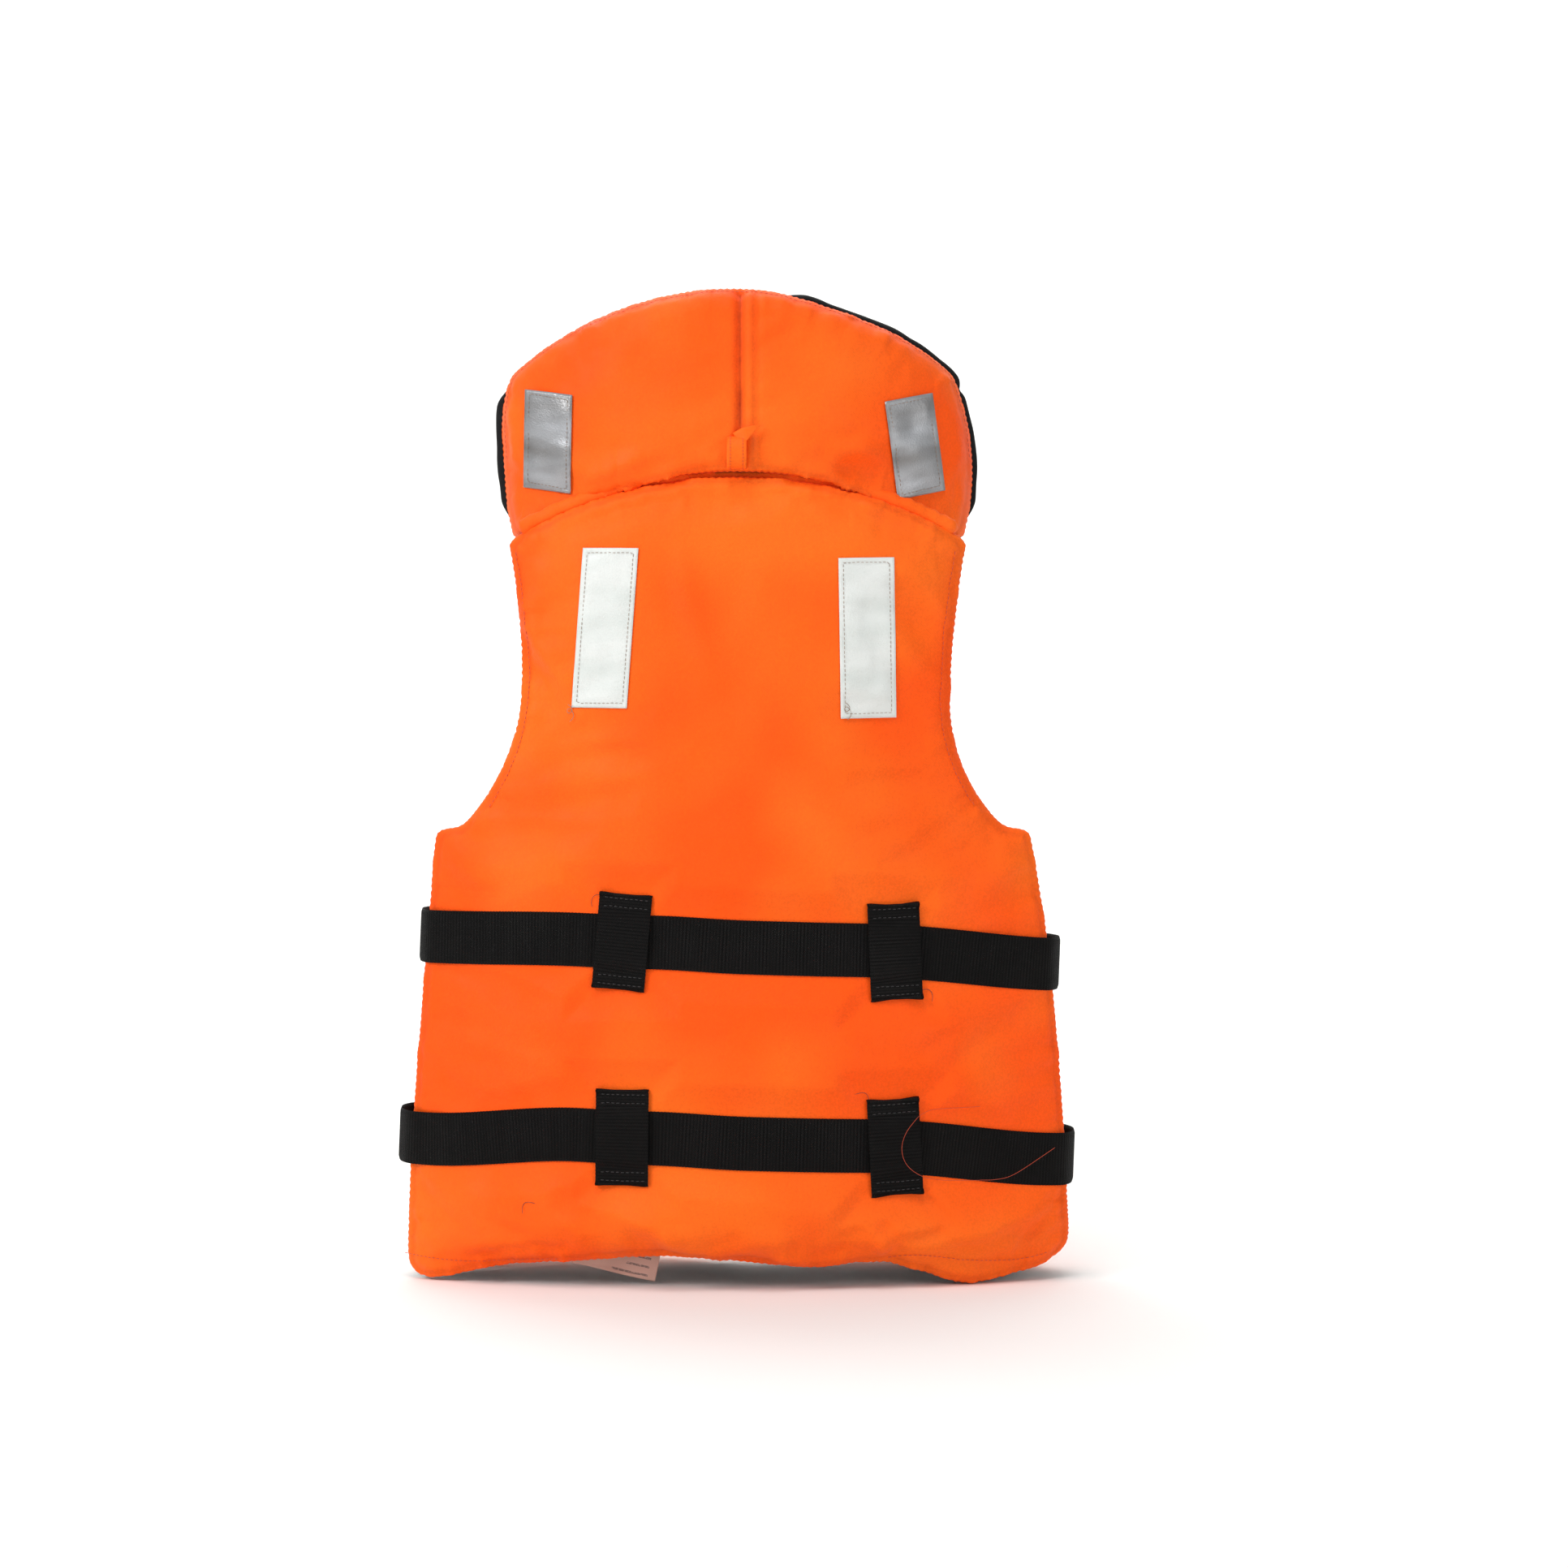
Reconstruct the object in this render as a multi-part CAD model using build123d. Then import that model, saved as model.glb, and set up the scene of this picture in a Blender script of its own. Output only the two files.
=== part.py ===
from build123d import *
import os
from math import cos, degrees, radians, sin, sqrt, atan2

# Foam life jacket with a head-support collar, standing closed on its hem.
# +Z is up, the zip side faces -Y and the back faces +Y, so +X is the wearer's left.
# The origin is on the floor under the middle of the jacket. Sizes are in millimetres.

# ---------------------------------------------------------------- driving sizes
SHIFT_Y = 9.2  # moves the jacket so that its box is centred on the origin front to back
HEM_HALF = 243.5  # half width at the hem
HEM_CORNER = 18.0  # corner radius of the hem
HEM_RISE = 21.0  # how far the hem arches up in the middle
HEM_FLAT = 170.0  # the arch of the hem starts this far from the middle
SIDE_MID_X, SIDE_MID_Z = 233.5, 185.0
UNDERARM_X, UNDERARM_Z = 217.0, 329.0
UNDERARM_STEP = 20.0  # width of the flap below the armhole
WAIST_X, WAIST_Z = 155.0, 435.0  # narrowest place, between the armholes
SHOULDER_X, SHOULDER_Z = 166.0, 538.0
NAPE_Z = 582.0  # top of the back panel in the middle

FABRIC = 0.9  # cover fabric with its coating
BACK_GAP, EDGE_GAP = 48.0, 5.0  # lining's distance from the middle plane: centre, side
BACK_THICK, BACK_EDGE_THICK = 34.0, 14.0
FRONT_EDGE_X = 18.0  # edge of a front panel, where the zip tape starts
FRONT_EDGE_THICK, FRONT_CROWN_THICK, FRONT_SIDE_THICK = 20.0, 60.0, 14.0
FRONT_CROWN_X = 112.0
FRONT_NARROWER = 3.0
FRONT_TOP_Z, FRONT_TOP_DROP = 556.0, 26.0  # shoulder line of a front panel
NECK_Z, NECK_X = 442.0, 72.0  # bottom and width of the neck opening

COLLAR_HALF, COLLAR_FOOT_X = 173.0, 165.0
COLLAR_TOP, COLLAR_CORNER_X, COLLAR_CORNER_Z = 717.0, 158.0, 662.0
COLLAR_BACK, COLLAR_SIDE_BACK, COLLAR_THICK = 86.0, 20.0, 38.0
COLLAR_GAP = 2.0  # between the collar and the back panel's top edge

YOKE_INNER_X, YOKE_OUTER_X, YOKE_TALL, YOKE_BELOW = 78.0, 152.0, 16.0, 4.0

WEB_WIDTH, WEB_THICK, WEB_GAP = 38.0, 1.6, 0.4
BELT_TILT = 2.2  # the belts rise this many degrees towards +X
BELTS = {"upper": 246.5, "lower": 107.0}
BIGHT_REACH = 7.0  # how far a belt stands out past the side edges
KEEPER_TALL = 68.0
KEEPERS_BACK = {"left": 82.0, "right": -113.0}
KEEPER_FRONT = 165.0

HINGE_OUT = 4.0  # the door hinge lies this far outside the side edge
DOOR_CLEAR = 24.0  # from the hinge to where a front belt starts
TAPE_THICK = 0.6  # reflective tape
BACK_REFLECTOR = (40.0, 114.0, 94.0, 471.0)  # width, height, x, z of its middle
COLLAR_REFLECTOR = (36.0, 70.0, 133.0, 606.0)
FRONT_REFLECTOR = (40.0, 88.0, 100.0, 415.0)

ZIP_Y = -60.0  # depth of the zip chain
ZIP_BOTTOM, ZIP_TOP, ZIP_PITCH, TOOTH_TALL = 30.0, 412.0, 4.0, 2.6
TOOTH_X, BEAD_X, CHAIN_X, CHAIN_THICK = 0.9, 2.8, 3.8, 2.8
TAPE_FABRIC = 1.0
SLIDER_TALL, SLIDER_HALF, SLIDER_PLATE, SLIDER_AIR = 18.0, 6.4, 1.5, 0.5
POST_THICK = 0.8  # the post between the slider's plates runs in the gap of the chain
PULL_LONG, PULL_WIDE, PULL_THICK = 27.0, 6.0, 1.8

BUCKLE_TALL, SOCKET_LONG, SOCKET_THICK, MOUTH_X = 46.0, 30.0, 11.0, 2.0
SOCKET_WALL, BAR_R, BAR_LUG = 2.6, 1.8, 3.4
PRONG_LONG, PLUG_BASE, PLUG_THICK, PRONG_THICK = 27.0, 20.0, 8.0, 4.6
PLUG_TRAVEL = 31.0
TAIL_X = 52.0  # the folded webbing behind a buckle's bar ends here

WHISTLE_LONG, WHISTLE_WIDE, WHISTLE_DEEP = 46.0, 17.0, 11.0
WHISTLE_X, WHISTLE_Z = 100.0, 322.0
LABEL_WIDE, LABEL_TALL, LABEL_X, LABEL_Z, LABEL_TILT = 62.0, 50.0, 85.0, 33.0, -12.0
HANG_WIDE, HANG_TALL, HANG_GAP, HANG_THICK = 14.0, 24.0, 7.5, 1.4

FAR = 900.0  # longer than the jacket, for cutting prisms
os.makedirs("parts", exist_ok=True)


def save(name, shape):
    """Writes one sub-part, moved back by SHIFT_Y, as a single solid where it is one."""
    moved = Pos(0, SHIFT_Y, 0) * shape
    solids = moved.solids()
    export_step(solids[0] if len(solids) == 1 else moved, f"parts/{name}.step")


# ---------------------------------------------------------------- arcs and prisms
def circle(a, b, c):
    """Centre and radius of the circle through three points."""
    (ax, ay), (bx, by), (cx, cy) = a, b, c
    d = 2 * (ax * (by - cy) + bx * (cy - ay) + cx * (ay - by))
    sa, sb, sc = ax * ax + ay * ay, bx * bx + by * by, cx * cx + cy * cy
    ux = (sa * (by - cy) + sb * (cy - ay) + sc * (ay - by)) / d
    uy = (sa * (cx - bx) + sb * (ax - cx) + sc * (bx - ax)) / d
    return ux, uy, sqrt((ax - ux) ** 2 + (ay - uy) ** 2)


def prism_y(edges):
    """A prism through the jacket from an outline drawn in the XZ plane."""
    return extrude(make_face(edges), amount=FAR, dir=(0, 1, 0), both=True)


def prism_z(edges):
    """A prism over the jacket's height from a plan drawn in the XY plane."""
    return extrude(make_face(edges), amount=FAR, dir=(0, 0, 1), both=True)


def arc_y(curve, x, side):
    """Depth at x on a circle in plan. Side +1 is its back half, -1 its front half."""
    cx, cy, r = curve
    return cy + side * sqrt(r * r - (x - cx) ** 2)


def grown(curve, amount):
    """A concentric circle."""
    return curve[0], curve[1], curve[2] + amount


def strip(inner, outer, x0, x1, side):
    """Plan between two circles, from x0 to x1, as a prism."""

    def arc(curve, a, b):
        mid = (a + b) / 2
        return ThreePointArc(*((x, arc_y(curve, x, side)) for x in (a, mid, b)))

    near, far = arc(inner, x0, x1), arc(outer, x1, x0)
    return prism_z([near, Line(near @ 1, far @ 0), far, Line(far @ 1, near @ 0)])


def slab(x0, x1, z0, z1):
    """A box of every depth."""
    return Pos((x0 + x1) / 2, 0, (z0 + z1) / 2) * Box(x1 - x0, 2 * FAR, z1 - z0)


def mirrored(shape):
    return mirror(shape, about=Plane.YZ)


def sided(side, shape):
    """The shape as drawn for +X, or its mirror image."""
    return shape if side == "left" else mirrored(shape)


# ---------------------------------------------------------------- curves of the torso
def sym(y_mid, y_side, half):
    return circle((-half, y_side), (0, y_mid), (half, y_side))


BACK_IN = sym(BACK_GAP, EDGE_GAP, HEM_HALF)
BACK_OUT = sym(BACK_GAP + BACK_THICK, EDGE_GAP + BACK_EDGE_THICK, HEM_HALF)
FRONT_IN = (0.0, -BACK_IN[1], BACK_IN[2])
FRONT_OUT = circle(
    (FRONT_EDGE_X, arc_y(FRONT_IN, FRONT_EDGE_X, -1) - FRONT_EDGE_THICK),
    (FRONT_CROWN_X, arc_y(FRONT_IN, FRONT_CROWN_X, -1) - FRONT_CROWN_THICK),
    (HEM_HALF, arc_y(FRONT_IN, HEM_HALF, -1) - FRONT_SIDE_THICK),
)
SIDE_ARC = circle((HEM_HALF, HEM_CORNER), (SIDE_MID_X, SIDE_MID_Z), (UNDERARM_X, UNDERARM_Z))
NAPE_ARC = circle((-SHOULDER_X, SHOULDER_Z), (0, NAPE_Z), (SHOULDER_X, SHOULDER_Z))


def side_x(z):
    """Half width of the torso at a height below the armholes."""
    cx, cz, r = SIDE_ARC
    span = sqrt(r * r - (z - cz) ** 2)
    return cx + span if HEM_HALF > cx else cx - span


def nape_z(x):
    """Height of the back panel's top edge."""
    return arc_y(NAPE_ARC, x, 1)


def torso_outline(shrink=0.0, side_shrink=0.0):
    """Hem, sides, underarm flaps, armholes and top edge, seen from the front.

    Shrinking it leaves the hem where it is, so the foam reaches the floor with its cover.
    """
    narrow = shrink + side_shrink

    def half(s):
        def p(x, z):
            return (s * (x - narrow), 0, z)

        step = UNDERARM_X - UNDERARM_STEP
        knee = HEM_CORNER * (1 - cos(radians(45)))
        under = UNDERARM_Z - shrink
        foot = p(HEM_HALF - HEM_CORNER, 0)
        side = p(HEM_HALF, HEM_CORNER)
        waist = p(WAIST_X, WAIST_Z)
        return [
            Line((s * HEM_FLAT, 0, 0), foot),
            ThreePointArc(foot, p(HEM_HALF - knee, knee), side),
            ThreePointArc(side, p(SIDE_MID_X, SIDE_MID_Z), p(UNDERARM_X, under)),
            Line(p(UNDERARM_X, under), p(step, under + 2)),
            ThreePointArc(p(step, under + 2), p(0.5 * (step + WAIST_X) - 8, 372), waist),
            ThreePointArc(waist, p(WAIST_X + 3.5, 487), p(SHOULDER_X, SHOULDER_Z - shrink)),
        ]

    top_x = SHOULDER_X - narrow
    hem = ThreePointArc((-HEM_FLAT, 0, 0), (0, 0, HEM_RISE), (HEM_FLAT, 0, 0))
    ends = (top_x, 0, SHOULDER_Z - shrink), (-top_x, 0, SHOULDER_Z - shrink)
    top = ThreePointArc(ends[0], (0, 0, NAPE_Z - shrink), ends[1])
    return prism_y([hem, *half(1), top, *half(-1)])


# ---------------------------------------------------------------- back panel
WIDE = HEM_HALF + 12.0
outline = torso_outline()
core_outline = torso_outline(FABRIC)
middle = sym(BACK_GAP + BACK_THICK / 2, EDGE_GAP + BACK_EDGE_THICK / 2, HEM_HALF)

back_full = strip(BACK_IN, BACK_OUT, -WIDE, WIDE, 1) & outline
back_lining = strip(BACK_IN, grown(BACK_IN, FABRIC), -WIDE, WIDE, 1) & outline
back_core = strip(grown(BACK_IN, FABRIC), grown(BACK_OUT, -FABRIC), -WIDE, WIDE, 1)
back_core = back_core & core_outline
inner_half = strip(grown(BACK_IN, -9), middle, -WIDE, WIDE, 1)
save("back_lining", back_lining)
save("back_foam_inner", back_core & inner_half)
save("back_foam_outer", back_core - inner_half)
save("back_cover", back_full - back_lining - back_core)


def back_skin(gap, thick, x0, x1):
    """A layer lying on the back's outer face."""
    return strip(grown(BACK_OUT, gap), grown(BACK_OUT, gap + thick), x0, x1, 1)


def front_skin(gap, thick, x0, x1):
    """A layer lying on the +X front panel's outer face."""
    return strip(grown(FRONT_OUT, gap), grown(FRONT_OUT, gap + thick), x0, x1, -1)


width, height, x_mid, z_mid = BACK_REFLECTOR
patch = back_skin(0, TAPE_THICK, x_mid - width / 2, x_mid + width / 2)
patch = patch & slab(0, FAR, z_mid - height / 2, z_mid + height / 2)
save("back_reflector_left", patch)
save("back_reflector_right", mirrored(patch))

# ---------------------------------------------------------------- front panels
front_trim = prism_y(
    [
        Line((FRONT_EDGE_X, 0, -50), (FAR, 0, -50)),
        Line((FAR, 0, -50), (FAR, 0, FRONT_TOP_Z - FRONT_TOP_DROP)),
        Line((FAR, 0, FRONT_TOP_Z - FRONT_TOP_DROP), (SHOULDER_X, 0, FRONT_TOP_Z - FRONT_TOP_DROP)),
        Line((SHOULDER_X, 0, FRONT_TOP_Z - FRONT_TOP_DROP), (NECK_X, 0, FRONT_TOP_Z)),
        ThreePointArc(
            (NECK_X, 0, FRONT_TOP_Z),
            ((NECK_X + FRONT_EDGE_X) / 2 + 13, 0, (FRONT_TOP_Z + NECK_Z) / 2 - 14),
            (FRONT_EDGE_X, 0, NECK_Z),
        ),
        Line((FRONT_EDGE_X, 0, NECK_Z), (FRONT_EDGE_X, 0, -50)),
    ]
)
front_core_trim = front_trim & (Pos(FABRIC, 0, -FABRIC) * front_trim)
front_outline = torso_outline(0, FRONT_NARROWER) & front_trim
front_core_outline = torso_outline(FABRIC, FRONT_NARROWER) & front_core_trim
LAST = HEM_HALF
FRONT_MID = circle(
    *(
        (x, (arc_y(FRONT_IN, x, -1) + arc_y(FRONT_OUT, x, -1)) / 2)
        for x in (FRONT_EDGE_X, FRONT_CROWN_X, HEM_HALF)
    )
)
front_full = strip(FRONT_IN, FRONT_OUT, FRONT_EDGE_X, LAST, -1) & front_outline
front_lining = strip(FRONT_IN, grown(FRONT_IN, FABRIC), FRONT_EDGE_X, LAST, -1) & front_outline
front_core = strip(grown(FRONT_IN, FABRIC), grown(FRONT_OUT, -FABRIC), FRONT_EDGE_X, LAST, -1)
front_core = front_core & front_core_outline
front_near = strip(grown(FRONT_IN, -9), FRONT_MID, FRONT_EDGE_X - 5, LAST + 0.5, -1)
front_cover = front_full - front_lining - front_core
width, height, x_mid, z_mid = FRONT_REFLECTOR
front_patch = front_skin(0, TAPE_THICK, x_mid - width / 2, x_mid + width / 2)
front_patch = front_patch & slab(0, FAR, z_mid - height / 2, z_mid + height / 2)
for side in ("left", "right"):
    save(f"front_lining_{side}", sided(side, front_lining))
    save(f"front_foam_inner_{side}", sided(side, front_core & front_near))
    save(f"front_foam_outer_{side}", sided(side, front_core - front_near))
    save(f"front_cover_{side}", sided(side, front_cover))
    save(f"front_reflector_{side}", sided(side, front_patch))

# ---------------------------------------------------------------- shoulder yokes
yoke_top = nape_z(YOKE_OUTER_X) - YOKE_BELOW
yoke_space = strip(grown(BACK_IN, 0), (0.0, 0.0, 1200.0), YOKE_INNER_X, YOKE_OUTER_X, 1)
front_space = strip(grown(FRONT_IN, -2.0), (0.0, 0.0, 1200.0), YOKE_INNER_X, YOKE_OUTER_X, -1)
yoke = slab(YOKE_INNER_X, YOKE_OUTER_X, yoke_top - YOKE_TALL, yoke_top) & Box(FAR, 160, 2 * FAR)
yoke = yoke - yoke_space - front_space
save("shoulder_left", yoke)
save("shoulder_right", mirrored(yoke))


# ---------------------------------------------------------------- collar
def collar_outline(shrink=0.0):
    """The collar seen from the back: two round shoulders and a domed top."""
    foot = COLLAR_FOOT_X - shrink
    low = nape_z(COLLAR_FOOT_X) + COLLAR_GAP + shrink
    corner = COLLAR_CORNER_X - 0.7 * shrink, COLLAR_CORNER_Z - 0.7 * shrink
    wide = COLLAR_HALF - shrink, 0.5 * (low + corner[1])
    top = COLLAR_TOP - shrink
    nape = NAPE_Z + COLLAR_GAP + shrink
    return prism_y(
        [
            ThreePointArc((-foot, 0, low), (0, 0, nape), (foot, 0, low)),
            ThreePointArc((foot, 0, low), (wide[0], 0, wide[1]), (corner[0], 0, corner[1])),
            ThreePointArc((corner[0], 0, corner[1]), (0, 0, top), (-corner[0], 0, corner[1])),
            ThreePointArc((-corner[0], 0, corner[1]), (-wide[0], 0, wide[1]), (-foot, 0, low)),
        ]
    )


COLLAR_OUT = sym(COLLAR_BACK, COLLAR_SIDE_BACK, COLLAR_HALF - 1.0)
COLLAR_IN = grown(COLLAR_OUT, -COLLAR_THICK)
C = COLLAR_HALF + 8.0
collar_full = strip(COLLAR_IN, COLLAR_OUT, -C, C, 1) & collar_outline()
collar_lining = strip(COLLAR_IN, grown(COLLAR_IN, FABRIC), -C, C, 1) & collar_outline()
collar_core = strip(grown(COLLAR_IN, FABRIC), grown(COLLAR_OUT, -FABRIC), -C, C, 1)
collar_core = collar_core & collar_outline(FABRIC)
half_space = slab(FABRIC / 2, FAR, 0, FAR)
collar_foam = collar_core & half_space
save("collar_foam_left", collar_foam)
save("collar_foam_right", mirrored(collar_foam))
save("collar_lining", collar_lining)
save("collar_cover", collar_full - collar_lining - collar_foam - mirrored(collar_foam))


def collar_skin(gap, thick, x0, x1):
    """A layer lying on the collar's outer face."""
    return strip(grown(COLLAR_OUT, gap), grown(COLLAR_OUT, gap + thick), x0, x1, 1)


width, height, x_mid, z_mid = COLLAR_REFLECTOR
patch = collar_skin(0, TAPE_THICK, x_mid - width / 2, x_mid + width / 2)
patch = patch & slab(0, FAR, z_mid - height / 2, z_mid + height / 2)
save("collar_reflector_left", patch)
save("collar_reflector_right", mirrored(patch))

hang_low = NAPE_Z + COLLAR_GAP + 1.0
hang_mid = Pos(0, COLLAR_BACK + HANG_GAP / 2, hang_low + HANG_TALL / 2)
hang = hang_mid * (
    Box(HANG_WIDE, HANG_GAP + 2 * HANG_THICK, HANG_TALL)
    - Box(2 * HANG_WIDE, HANG_GAP, HANG_TALL - 2 * HANG_THICK)
)
hang = hang & strip(COLLAR_OUT, grown(COLLAR_OUT, 40), -60, 60, 1)
save("hanging_loop", hang)


# ---------------------------------------------------------------- belts
def tilted(name, shape):
    """Moves a shape drawn about z = 0 to a belt's height and tilt."""
    return Pos(0, 0, BELTS[name]) * Rot(0, -BELT_TILT, 0) * shape


def tilted_slab(name, x0, x1, half_tall):
    """A box of every depth that follows a belt's tilt."""
    return tilted(name, slab(x0, x1, -half_tall, half_tall))


def web_flat(name, path):
    """Webbing on its edge that follows a path in plan, turned as a whole to the belt's tilt."""
    face = trace(path, line_width=WEB_THICK)
    return tilted(name, extrude(face, amount=WEB_WIDTH / 2, dir=(0, 0, 1), both=True))


def web_over(name, path, side=1):
    """Webbing that hugs an upright surface, cut from it along the belt's tilt."""
    face = trace(path, line_width=WEB_THICK)
    upright = extrude(face, amount=FAR, dir=(0, 0, 1), both=True)
    upright = upright if side > 0 else mirrored(upright)
    return upright & tilted_slab(name, -FAR, FAR, WEB_WIDTH / 2)


def back_belt(name):
    """Lies over the back and turns round both side edges."""
    curve = grown(BACK_OUT, WEB_GAP + WEB_THICK / 2)
    ends = []
    for s in (1, -1):
        rise = s * HEM_HALF * sin(radians(BELT_TILT))
        low = max(BELTS[name] + rise - 0.5 * WEB_WIDTH, HEM_CORNER)
        ends.append(side_x(low) + 0.4)
    over = ThreePointArc(*((x, arc_y(curve, x, 1)) for x in (-ends[1], 0, ends[0])))
    lines = [over]
    for end, s in ((ends[0], 1), (ends[1], -1)):
        slope = atan2(end, sqrt(curve[2] ** 2 - end**2))
        r = (BIGHT_REACH - WEB_THICK / 2) / (1 - sin(slope))
        cx, cy = end - r * sin(slope), arc_y(curve, end, 1) - r * cos(slope)
        mid = (slope + radians(90)) / 2
        points = [(cx + r * sin(a), cy + r * cos(a)) for a in (slope, mid, radians(90))]
        lines.append(ThreePointArc(*((s * x, y) for x, y in points)))
        if points[-1][1] > 3:
            lines.append(Line((s * points[-1][0], points[-1][1]), (s * points[-1][0], 2.0)))
    return web_over(name, lines)


YB = FRONT_OUT[1] - FRONT_OUT[2] - WEB_GAP - WEB_THICK / 2  # depth of the belts in front
PATH_R = BAR_R + 0.4 + WEB_THICK / 2
BUCKLE_Y = YB + PATH_R
BAR_X = MOUTH_X + SOCKET_LONG + 6.0


def front_over(name, side):
    """From the side edge to the panel's crown: the part that lies on the panel."""
    rise = side * HEM_HALF * sin(radians(BELT_TILT))
    start = side_x(BELTS[name] + rise + 0.5 * WEB_WIDTH) + HINGE_OUT - DOOR_CLEAR
    curve = grown(FRONT_OUT, WEB_GAP + WEB_THICK / 2)
    stations = start, (start + FRONT_OUT[0]) / 2, FRONT_OUT[0]
    return web_over(name, ThreePointArc(*((x, arc_y(curve, x, -1)) for x in stations)), side)


def front_belt(name, side):
    """The left one ends in a fold round the socket's bar, the right one short of the plug's."""
    if side < 0:
        end = PRONG_LONG + PLUG_BASE + PLUG_TRAVEL - 28.0
        return front_over(name, -1) + web_flat(name, Line((-FRONT_OUT[0], YB), (-end, YB)))
    far = YB + 2 * PATH_R
    flat = Line((FRONT_OUT[0], YB), (BAR_X, YB))
    turn = ThreePointArc((BAR_X, YB), (BAR_X - PATH_R, YB + PATH_R), (BAR_X, far))
    return front_over(name, 1) + web_flat(name, [flat, turn, Line((BAR_X, far), (TAIL_X, far))])


def keeper(name, skin, x_mid, flip=False):
    """A loop of webbing sewn above and below the belt that runs through it."""
    half = WEB_WIDTH / 2
    x0, x1 = x_mid - half, x_mid + half
    block = skin(0.0, 2 * WEB_GAP + 2 * WEB_THICK, x0 - 9, x1 + 9)
    room = skin(-1.0, 2 * WEB_GAP + WEB_THICK + 1.0, x0 - 9, x1 + 9)
    if flip:
        block, room, x0, x1 = mirrored(block), mirrored(room), -x1, -x0
    block = block & tilted_slab(name, x0, x1, KEEPER_TALL / 2)
    return block - (room & tilted_slab(name, -FAR, FAR, half + 0.6))


for name in BELTS:
    save(f"back_belt_{name}", back_belt(name))
    for side, s in (("left", 1), ("right", -1)):
        save(f"front_belt_{name}_{side}", front_belt(name, s))
        save(f"back_loop_{name}_{side}", keeper(name, back_skin, KEEPERS_BACK[side]))
        save(f"front_loop_{name}_{side}", keeper(name, front_skin, KEEPER_FRONT, s < 0))

# ---------------------------------------------------------------- buckles
half = BUCKLE_TALL / 2
socket = Pos(MOUTH_X + SOCKET_LONG / 2, 0, 0) * Box(SOCKET_LONG, SOCKET_THICK, BUCKLE_TALL)
socket = fillet(socket.edges().filter_by(Axis.Z), 3.0)
cavity = Box(SOCKET_LONG, SOCKET_THICK - 2 * SOCKET_WALL, 2 * BUCKLE_TALL)
socket = socket - Pos(MOUTH_X + SOCKET_LONG / 2 - SOCKET_WALL, 0, 0) * cavity
wall = Box(SOCKET_LONG / 3, SOCKET_THICK - 2 * SOCKET_WALL, BAR_LUG)
for s in (1, -1):
    socket = socket + Pos(MOUTH_X + SOCKET_LONG * 5 / 6, 0, s * (half - BAR_LUG / 2)) * wall
    lug = Pos((MOUTH_X + SOCKET_LONG + BAR_X) / 2 - 0.5, 0, s * (half - BAR_LUG / 2))
    socket = socket + lug * Box(BAR_X - MOUTH_X - SOCKET_LONG + 1, 2 * BAR_R, BAR_LUG)
socket = socket + Pos(BAR_X, 0, 0) * Cylinder(BAR_R, BUCKLE_TALL)

# The plug is drawn pushed home. It rests pulled out of the socket by its travel.
home = MOUTH_X - 0.5
bar = home - PLUG_BASE + BAR_R
plug = Pos(home - PLUG_BASE / 4, 0, 0) * Box(PLUG_BASE / 2, PLUG_THICK, BUCKLE_TALL - 4)
plug = fillet(plug.edges().filter_by(Axis.Z), 2.0)
plug = plug + Pos(bar, 0, 0) * Cylinder(BAR_R, BUCKLE_TALL - 4)
tip = home + PRONG_LONG
plug = plug + Pos(home + PRONG_LONG / 2 - 2, 0, 0) * Box(PRONG_LONG - 2, 3.0, 7.0)
for s in (1, -1):
    side_z = s * (half - 2 - BAR_LUG / 2)
    arm = Box(PLUG_BASE / 2, 2 * BAR_R, BAR_LUG)
    plug = plug + Pos(bar + PLUG_BASE / 4, 0, side_z) * arm
    reach = [(home - 1, 11), (home + 9, 12), (tip - 9, 14), (tip - 9, 17.5), (tip - 2, 13), (tip, 9)]
    back = [(tip - 4, 7.5), (tip - 12, 9.5), (home + 8, 8.0), (home - 1, 7.0)]
    prong = make_face(Polyline(*((x, 0, s * z) for x, z in reach + back), close=True))
    plug = plug + extrude(prong, amount=PRONG_THICK / 2, dir=(0, 1, 0), both=True)
for name in BELTS:
    save(f"buckle_socket_{name}", tilted(name, Pos(0, BUCKLE_Y, 0) * socket))
    save(f"buckle_plug_{name}", tilted(name, Pos(-PLUG_TRAVEL, BUCKLE_Y, 0) * plug))

# ---------------------------------------------------------------- zip
tape = Pos((CHAIN_X + FRONT_EDGE_X) / 2, ZIP_Y, (ZIP_BOTTOM + ZIP_TOP) / 2)
tape = tape * Box(FRONT_EDGE_X - CHAIN_X, TAPE_FABRIC, ZIP_TOP - ZIP_BOTTOM)
bead = Box(CHAIN_X - BEAD_X, CHAIN_THICK - 0.8, ZIP_TOP - ZIP_BOTTOM)
chain = Pos((BEAD_X + CHAIN_X) / 2, ZIP_Y, (ZIP_BOTTOM + ZIP_TOP) / 2) * bead
tooth = Box(CHAIN_X - TOOTH_X, CHAIN_THICK, TOOTH_TALL)
count = int((ZIP_TOP - ZIP_BOTTOM - TOOTH_TALL) / ZIP_PITCH)
first = Pos((TOOTH_X + CHAIN_X) / 2, ZIP_Y, ZIP_BOTTOM + TOOTH_TALL / 2 + 0.4)
teeth = [first * Pos(0, 0, i * ZIP_PITCH) * tooth for i in range(count + 1)]
chain = chain + teeth
for side in ("left", "right"):
    save(f"zip_tape_{side}", sided(side, tape))
    save(f"zip_teeth_{side}", sided(side, chain))

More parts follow.
